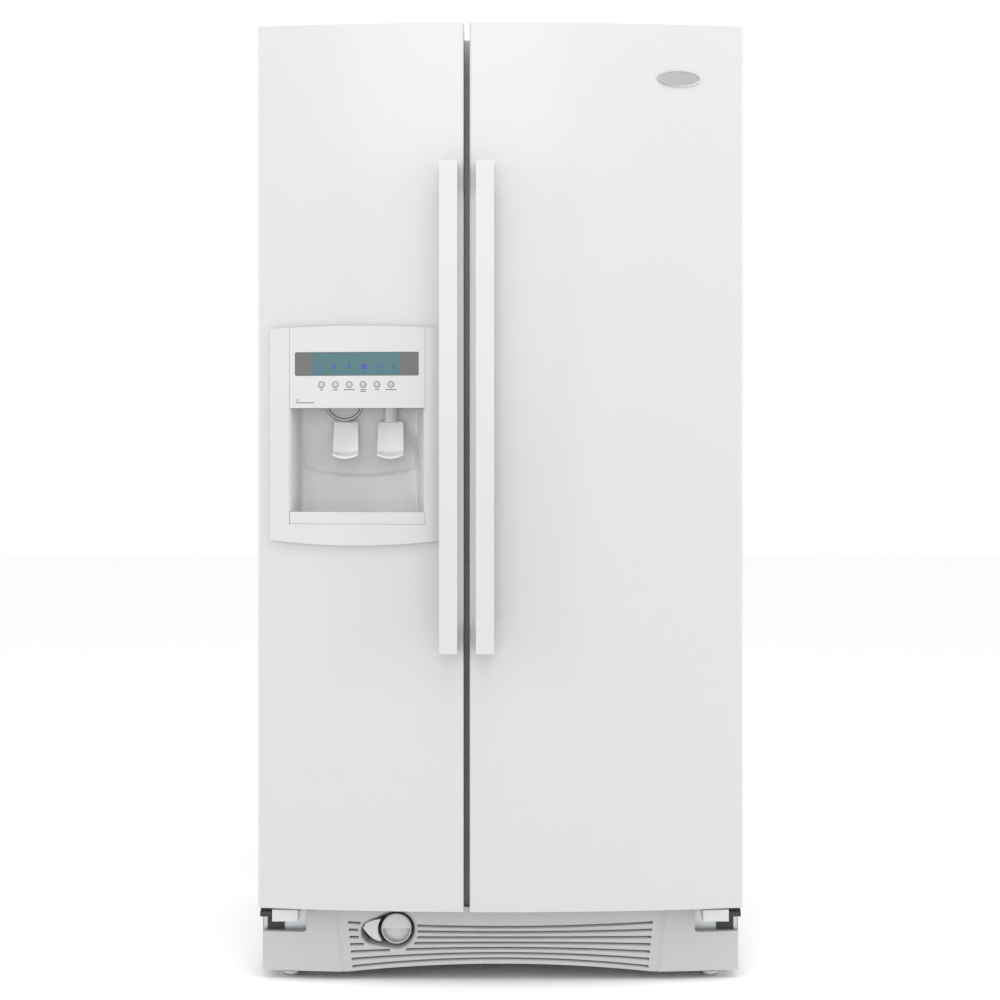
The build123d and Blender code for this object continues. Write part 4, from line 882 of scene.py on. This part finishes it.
def grille_edge(half):
    """The grille's outline, with its arched lower edge and a notch at each end."""
    low, top, (notch_x, notch_z) = GRILLE_LOW.z, GRILLE_HIGH.z, NOTCH
    arch = arc_line((-ARCH_HALF, low), (ARCH_HALF, low), ARCH_RISE, 40)
    corners = [(-half, notch_z), (-half, low)] + arch + [(half, low), (half, notch_z)]
    corners += [(notch_x, notch_z), (notch_x, top), (-notch_x, top), (-notch_x, notch_z)]
    radii = [1.5 * MM, 5 * MM] + [0] * len(arch) + [5 * MM, 1.5 * MM, 7 * MM, 2 * MM, 2 * MM, 7 * MM]
    return rounded(corners, radii)


def slot_and_blade(index, x0, x1):
    """The outline of one open stretch of a slot, and the sloping blade behind it."""
    steps = max(2, ceil((x1 - x0) / (12 * MM)))
    point, blunt = 1.2 * MM, 1 * MM
    upper = [(x, slot_z(index, x) + SLOT_UP) for x in spread(x0, x1, steps)]
    lower = [(x, slot_z(index, x) - SLOT_DOWN) for x in spread(x1, x0, steps)]
    right, left = (x1 + point, slot_z(index, x1) - blunt), (x0 - point, slot_z(index, x0) - blunt)
    rows = []
    for depth, rise in BLADE:
        along = spread(x0 - 1 * MM, x1 + 1 * MM, steps)
        rows.append([(x, grille_y(x, GRILLE_LOW.z, depth * MM), slot_z(index, x) + rise * MM) for x in along])
    return upper + [right] + lower + [left], grid(rows)


def grille_returns(half):
    """The walls that run back from the grille's ends and round its notches."""
    low, top, far, (notch_x, notch_z) = GRILLE_LOW.z, GRILLE_HIGH.z, GRILLE_HIGH.y, NOTCH
    end_y, notch_y = grille_front(half), grille_front(notch_x)
    walls = []
    for side in (-1, 1):
        for x0, x1, y, z0, z1 in (
            (half, half - 3 * MM, end_y + 1.8 * MM, low + 4 * MM, notch_z - 1 * MM),
            (notch_x, notch_x - 2.5 * MM, notch_y + 2 * MM, notch_z - 2 * MM, top - 0.5 * MM),
            (half - 1 * MM, notch_x - 2 * MM, end_y + 2 * MM, notch_z - 2.5 * MM, notch_z),
        ):
            x0, x1 = sorted((side * x0, side * x1))
            walls.append(block((x0, y, z0), (x1, far, z1), 0.6 * MM))
    return walls


def make_grille():
    """The base grille: a bowed plate with seven curved slots, a sloping blade in each, and end notches."""
    half = GRILLE_HIGH.x - 0.2 * MM
    loops, blades = [grille_edge(half)], []
    for index in range(SLOTS):
        for x0, x1 in slot_runs(index):
            loop, blade = slot_and_blade(index, x0, x1)
            loops.append(loop)
            blades.append(blade)
    loops.append(drop_outline())
    cuts = spread(-half, half, 60)[1:-1] + [s * (291 + d) * MM for s in (-1, 1) for d in range(0, 22, 2)]
    plate = slab(loops, 3 * MM, 0.45 * MM, cuts, 2)
    placed(plate, lambda u, v, w: (u, grille_y(u, v, w), v))
    shown("base_grille_plate", "base_grille", join(plate, *grille_returns(half)), "grille_white", 50)

    slot, white = SLOT_OF["base_grille"], MATERIALS["grille_white"]
    thicken(piece("base_grille_louvres", join(*blades), "root", white), 0.8 * MM, -1.0)
    # A near black sheet 13 mm behind the slots is painted shade: it makes the slots as dark as the shade
    # behind the grille would.
    x0, x1 = -300 * MM, 300 * MM
    edge = rounded(oblong(x0, 36 * MM, x1, 130 * MM), 3 * MM)
    dark = slab([edge, drop_outline(4 * MM)], 1 * MM, 0, spread(x0, x1, 40)[1:-1])
    piece("grille_shade_sheet", on_grille(dark, 13 * MM), "root", MATERIALS["painted_shade_dark"])
    make_pocket()
    make_knob()
    make_eject_button()


def make_pocket():
    """The tear-drop pocket of the filter knob and its eject button, with its floor in near black painted
    shade.
    """
    floor_y, slot = GRILLE_HIGH.y - 4 * MM, SLOT_OF["base_grille"]
    rim = drop_outline(0.2 * MM)
    rows = [[(x, grille_front(x) + back, z) for x, z in rim] for back in (0.6 * MM, 3 * MM)]
    rows += [[(x, floor_y - 3 * MM, z) for x, z in drop_outline(-2.5 * MM)]]
    rows += [[(x, floor_y, z) for x, z in drop_outline(-4 * MM)]]
    pocket = piece("filter_pocket", grid(rows, closed=True), "root", MATERIALS["grille_white"])
    thicken(pocket, 1 * MM, 1.0)
    # The pocket's floor is near black as painted shade for the depth of the pocket.
    floor = slab([drop_outline(-1 * MM), circle(KNOB.x, KNOB.z, KNOB_R - 6 * MM)], 1 * MM)
    placed(floor, lambda u, v, w: (u, floor_y + w, v))
    piece("filter_pocket_floor", floor, "root", MATERIALS["painted_shade_dark"])


RING_PROFILE = [(-2.6, -11), (-2.2, -0.6), (-1.8, 0), (-0.6, 0), (0, -0.6), (0, -18)]  # mm past its radius
GRIP_INSET = 2.4 * MM


def make_knob():
    """The filter knob: a ring, a raised half to grip and a dished half."""
    place, grip_r = facing(KNOB.x, KNOB_LOW.y, KNOB.z), KNOB_R - GRIP_INSET
    ring = [(KNOB_R + r * MM, height * MM) for r, height in RING_PROFILE] + [(THINNEST, -18 * MM)]
    dish = [(THINNEST, -6.5 * MM), (grip_r * 0.5, -6.8 * MM), (grip_r * 0.85, -8 * MM)]
    dish += [(grip_r + 0.2 * MM, -11 * MM)]
    upper = [(KNOB.x + grip_r * cos(a), KNOB.z + grip_r * sin(a)) for a in spread(0.02, pi - 0.02, 30)]
    grip = placed(slab([upper], 11 * MM, 1 * MM), lambda u, v, w: (u, KNOB_LOW.y + 0.4 * MM + w, v))
    parts = [grid(turned(ring, place, 64), closed=True), grip, grid(turned(dish, place, 64), closed=True)]
    shown("filter_knob", "filter_cap", join(*parts), angle=35)


def make_eject_button():
    """The button beside the knob, hollowed to follow the knob's ring."""
    ring_r, low, high = KNOB_R + 6.5 * MM, KNOB.z - 22 * MM, KNOB.z + 19 * MM
    left, lobe_z = LOBE[0] - LOBE_R, LOBE[1]

    def ring_x(z):
        return KNOB.x - sqrt(ring_r**2 - (z - KNOB.z) ** 2)

    outline = arc_line((left + 4 * MM, lobe_z + 8 * MM), (ring_x(low), low), -7 * MM, 10)
    outline += [(ring_x(z), z) for z in spread(low, high, 12)[1:]]
    outline += arc_line((ring_x(high), high), (left + 9 * MM, lobe_z + 17 * MM), 1.5 * MM, 8)[1:]
    bm = slab([outline], 20 * MM, 1 * MM, spread(left, ring_x(high), 6)[1:-1])
    shown("filter_eject_button", "filter_button", on_grille(bm, 0.5 * MM))


# ---------------------------------------------------------------- back
BEAD, BEAD_DEEP, BEAD_END = 9 * MM, 1.1 * MM, 150 * MM
BEAD_PLACES = (0.14, 0.32, 0.5, 0.68, 0.86)  # shares of the panel's width
SCREW_PROFILE = [(4.2, -1), (4.2, -0.5), (3.4, -0.1), (1.8, -0.05), (1.6, -0.7), (0, -0.7)]  # mm
SCREW_IN, SCREW_END = 9 * MM, 30 * MM  # from the panel's sides, and from its ends


def make_back_panel():
    """The back sheet, stiffened by pressed upright beads with round ends, and screwed at its rim."""
    low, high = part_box("back_panel")
    across = [low.x + (high.x - low.x) * share for share in BEAD_PLACES]
    z0, z1 = low.z + BEAD_END, high.z - BEAD_END
    fine = [d * MM for d in range(-10, 11)]
    columns = sorted(set(spread(low.x, high.x, 12)) | {x + d for x in across for d in fine})
    heights = sorted(set(spread(low.z, high.z, 16)) | {z + d for z in (z0, z1) for d in fine})
    rows = []
    for z in heights:
        beyond = max(z0 - z, z - z1, 0.0)
        row = []
        for x in columns:
            away = min(sqrt((x - mid) ** 2 + beyond**2) for mid in across)
            row.append((x, high.y - BEAD_DEEP * (1 - smooth(away, 0.25 * BEAD, BEAD)), z))
        rows.append(row)
    rim = [rows[0][0], rows[0][-1], rows[-1][-1], rows[-1][0]]
    edge = grid([rim, [(x, low.y, z) for x, y, z in rim]], closed=True)
    shown("back_panel_sheet", "back_panel", join(grid(rows), edge), angle=60)
    profile = [(radius * MM, height * MM) for radius, height in SCREW_PROFILE]
    screws = []
    for x in (low.x + SCREW_IN, high.x - SCREW_IN):
        for z in spread(low.z + SCREW_END, high.z - SCREW_END, 5):
            screws.append(lathe(profile, facing(x, high.y, z, "Y"), 20))
    piece("back_panel_screws", join(*screws), "root", MATERIALS["zinc"])


# ---------------------------------------------------------------- scene
CAMERA_DISTANCE = 3500 * MM  # from the side edges of the doors
CAMERA_HEIGHT = 990.4 * MM
CAMERA_SIDE = -0.9 * MM
LENS_MM, SENSOR_MM, SHIFT_UP = 68.05, 36.0, -0.05
FLOOR_HALF = 14.0  # metres
STRIP = (0.3, 2.4)
LIGHTS = (  # name, place, target, size in metres, power in watts, width and height in sizes
    ("overhead", (0.1, -1.5, 3.4), (0, -0.3, 1.5), 1.6, 26, (1, 1)),
    ("front", (-0.5, -5.6, 2.4), (-0.1, -0.3, 0.95), 2.4, 32, (1, 1)),
    ("left_strip", (-3.0, -1.5, 1.5), (0, -0.35, 1.1), 1.0, 26, STRIP),
    ("right_strip", (3.0, -1.5, 1.5), (0, -0.35, 1.1), 1.0, 32, STRIP),
)


def area_light(name, place, target, size, power, shape):
    """A soft light that faces its target."""
    data = bpy.data.lights.new(name, "AREA")
    data.shape, data.size, data.size_y, data.energy = "RECTANGLE", size * shape[0], size * shape[1], power
    obj = bpy.data.objects.new(name, data)
    obj.location = place
    obj.rotation_euler = (Vector(target) - Vector(place)).to_track_quat("-Z", "Y").to_euler()
    bpy.context.scene.collection.objects.link(obj)


def make_camera():
    """A level camera in front of the doors."""
    camera = bpy.data.cameras.new("camera")
    camera.lens, camera.sensor_width, camera.shift_y = LENS_MM, SENSOR_MM, SHIFT_UP
    obj = bpy.data.objects.new("camera", camera)
    obj.location = (CAMERA_SIDE, front(DOOR_HALF) - CAMERA_DISTANCE, CAMERA_HEIGHT)
    obj.rotation_euler = (pi / 2, 0, 0)
    bpy.context.scene.collection.objects.link(obj)
    bpy.context.scene.camera = obj


def make_floor():
    """A pale studio floor."""
    floor = bpy.data.meshes.new("floor")
    corners = [(x, y, 0) for x, y in oblong(-FLOOR_HALF, -FLOOR_HALF, FLOOR_HALF, FLOOR_HALF)]
    floor.from_pydata(corners, [], [(0, 1, 2, 3)])
    floor.materials.append(finish_material("studio_floor", grey(0.97), 0.7, grain=(90, 0.2), tone=0.01))
    ground = bpy.data.objects.new("floor", floor)
    bpy.context.scene.collection.objects.link(ground)


def make_scene():
    """Camera, floor, white surroundings and soft lights."""
    make_camera()
    make_floor()
    world = bpy.data.worlds.new("studio")
    bpy.context.scene.world = world
    world.use_nodes = True
    background = world.node_tree.nodes["Background"]
    background.inputs["Color"].default_value = (1, 1, 1, 1)
    background.inputs["Strength"].default_value = 1.0
    bpy.context.scene.view_settings.view_transform = "Standard"
    for light in LIGHTS:
        area_light(*light)


make_scene()
paint_nodes()
make_doors()
make_handle("freezer_handle")
make_handle("fridge_handle")
make_badge()
make_bezel()
make_panel()
make_recess()
make_paddle("ice_paddle")
make_paddle("water_paddle")
make_tray()
make_chute()
make_grille()
make_back_panel()
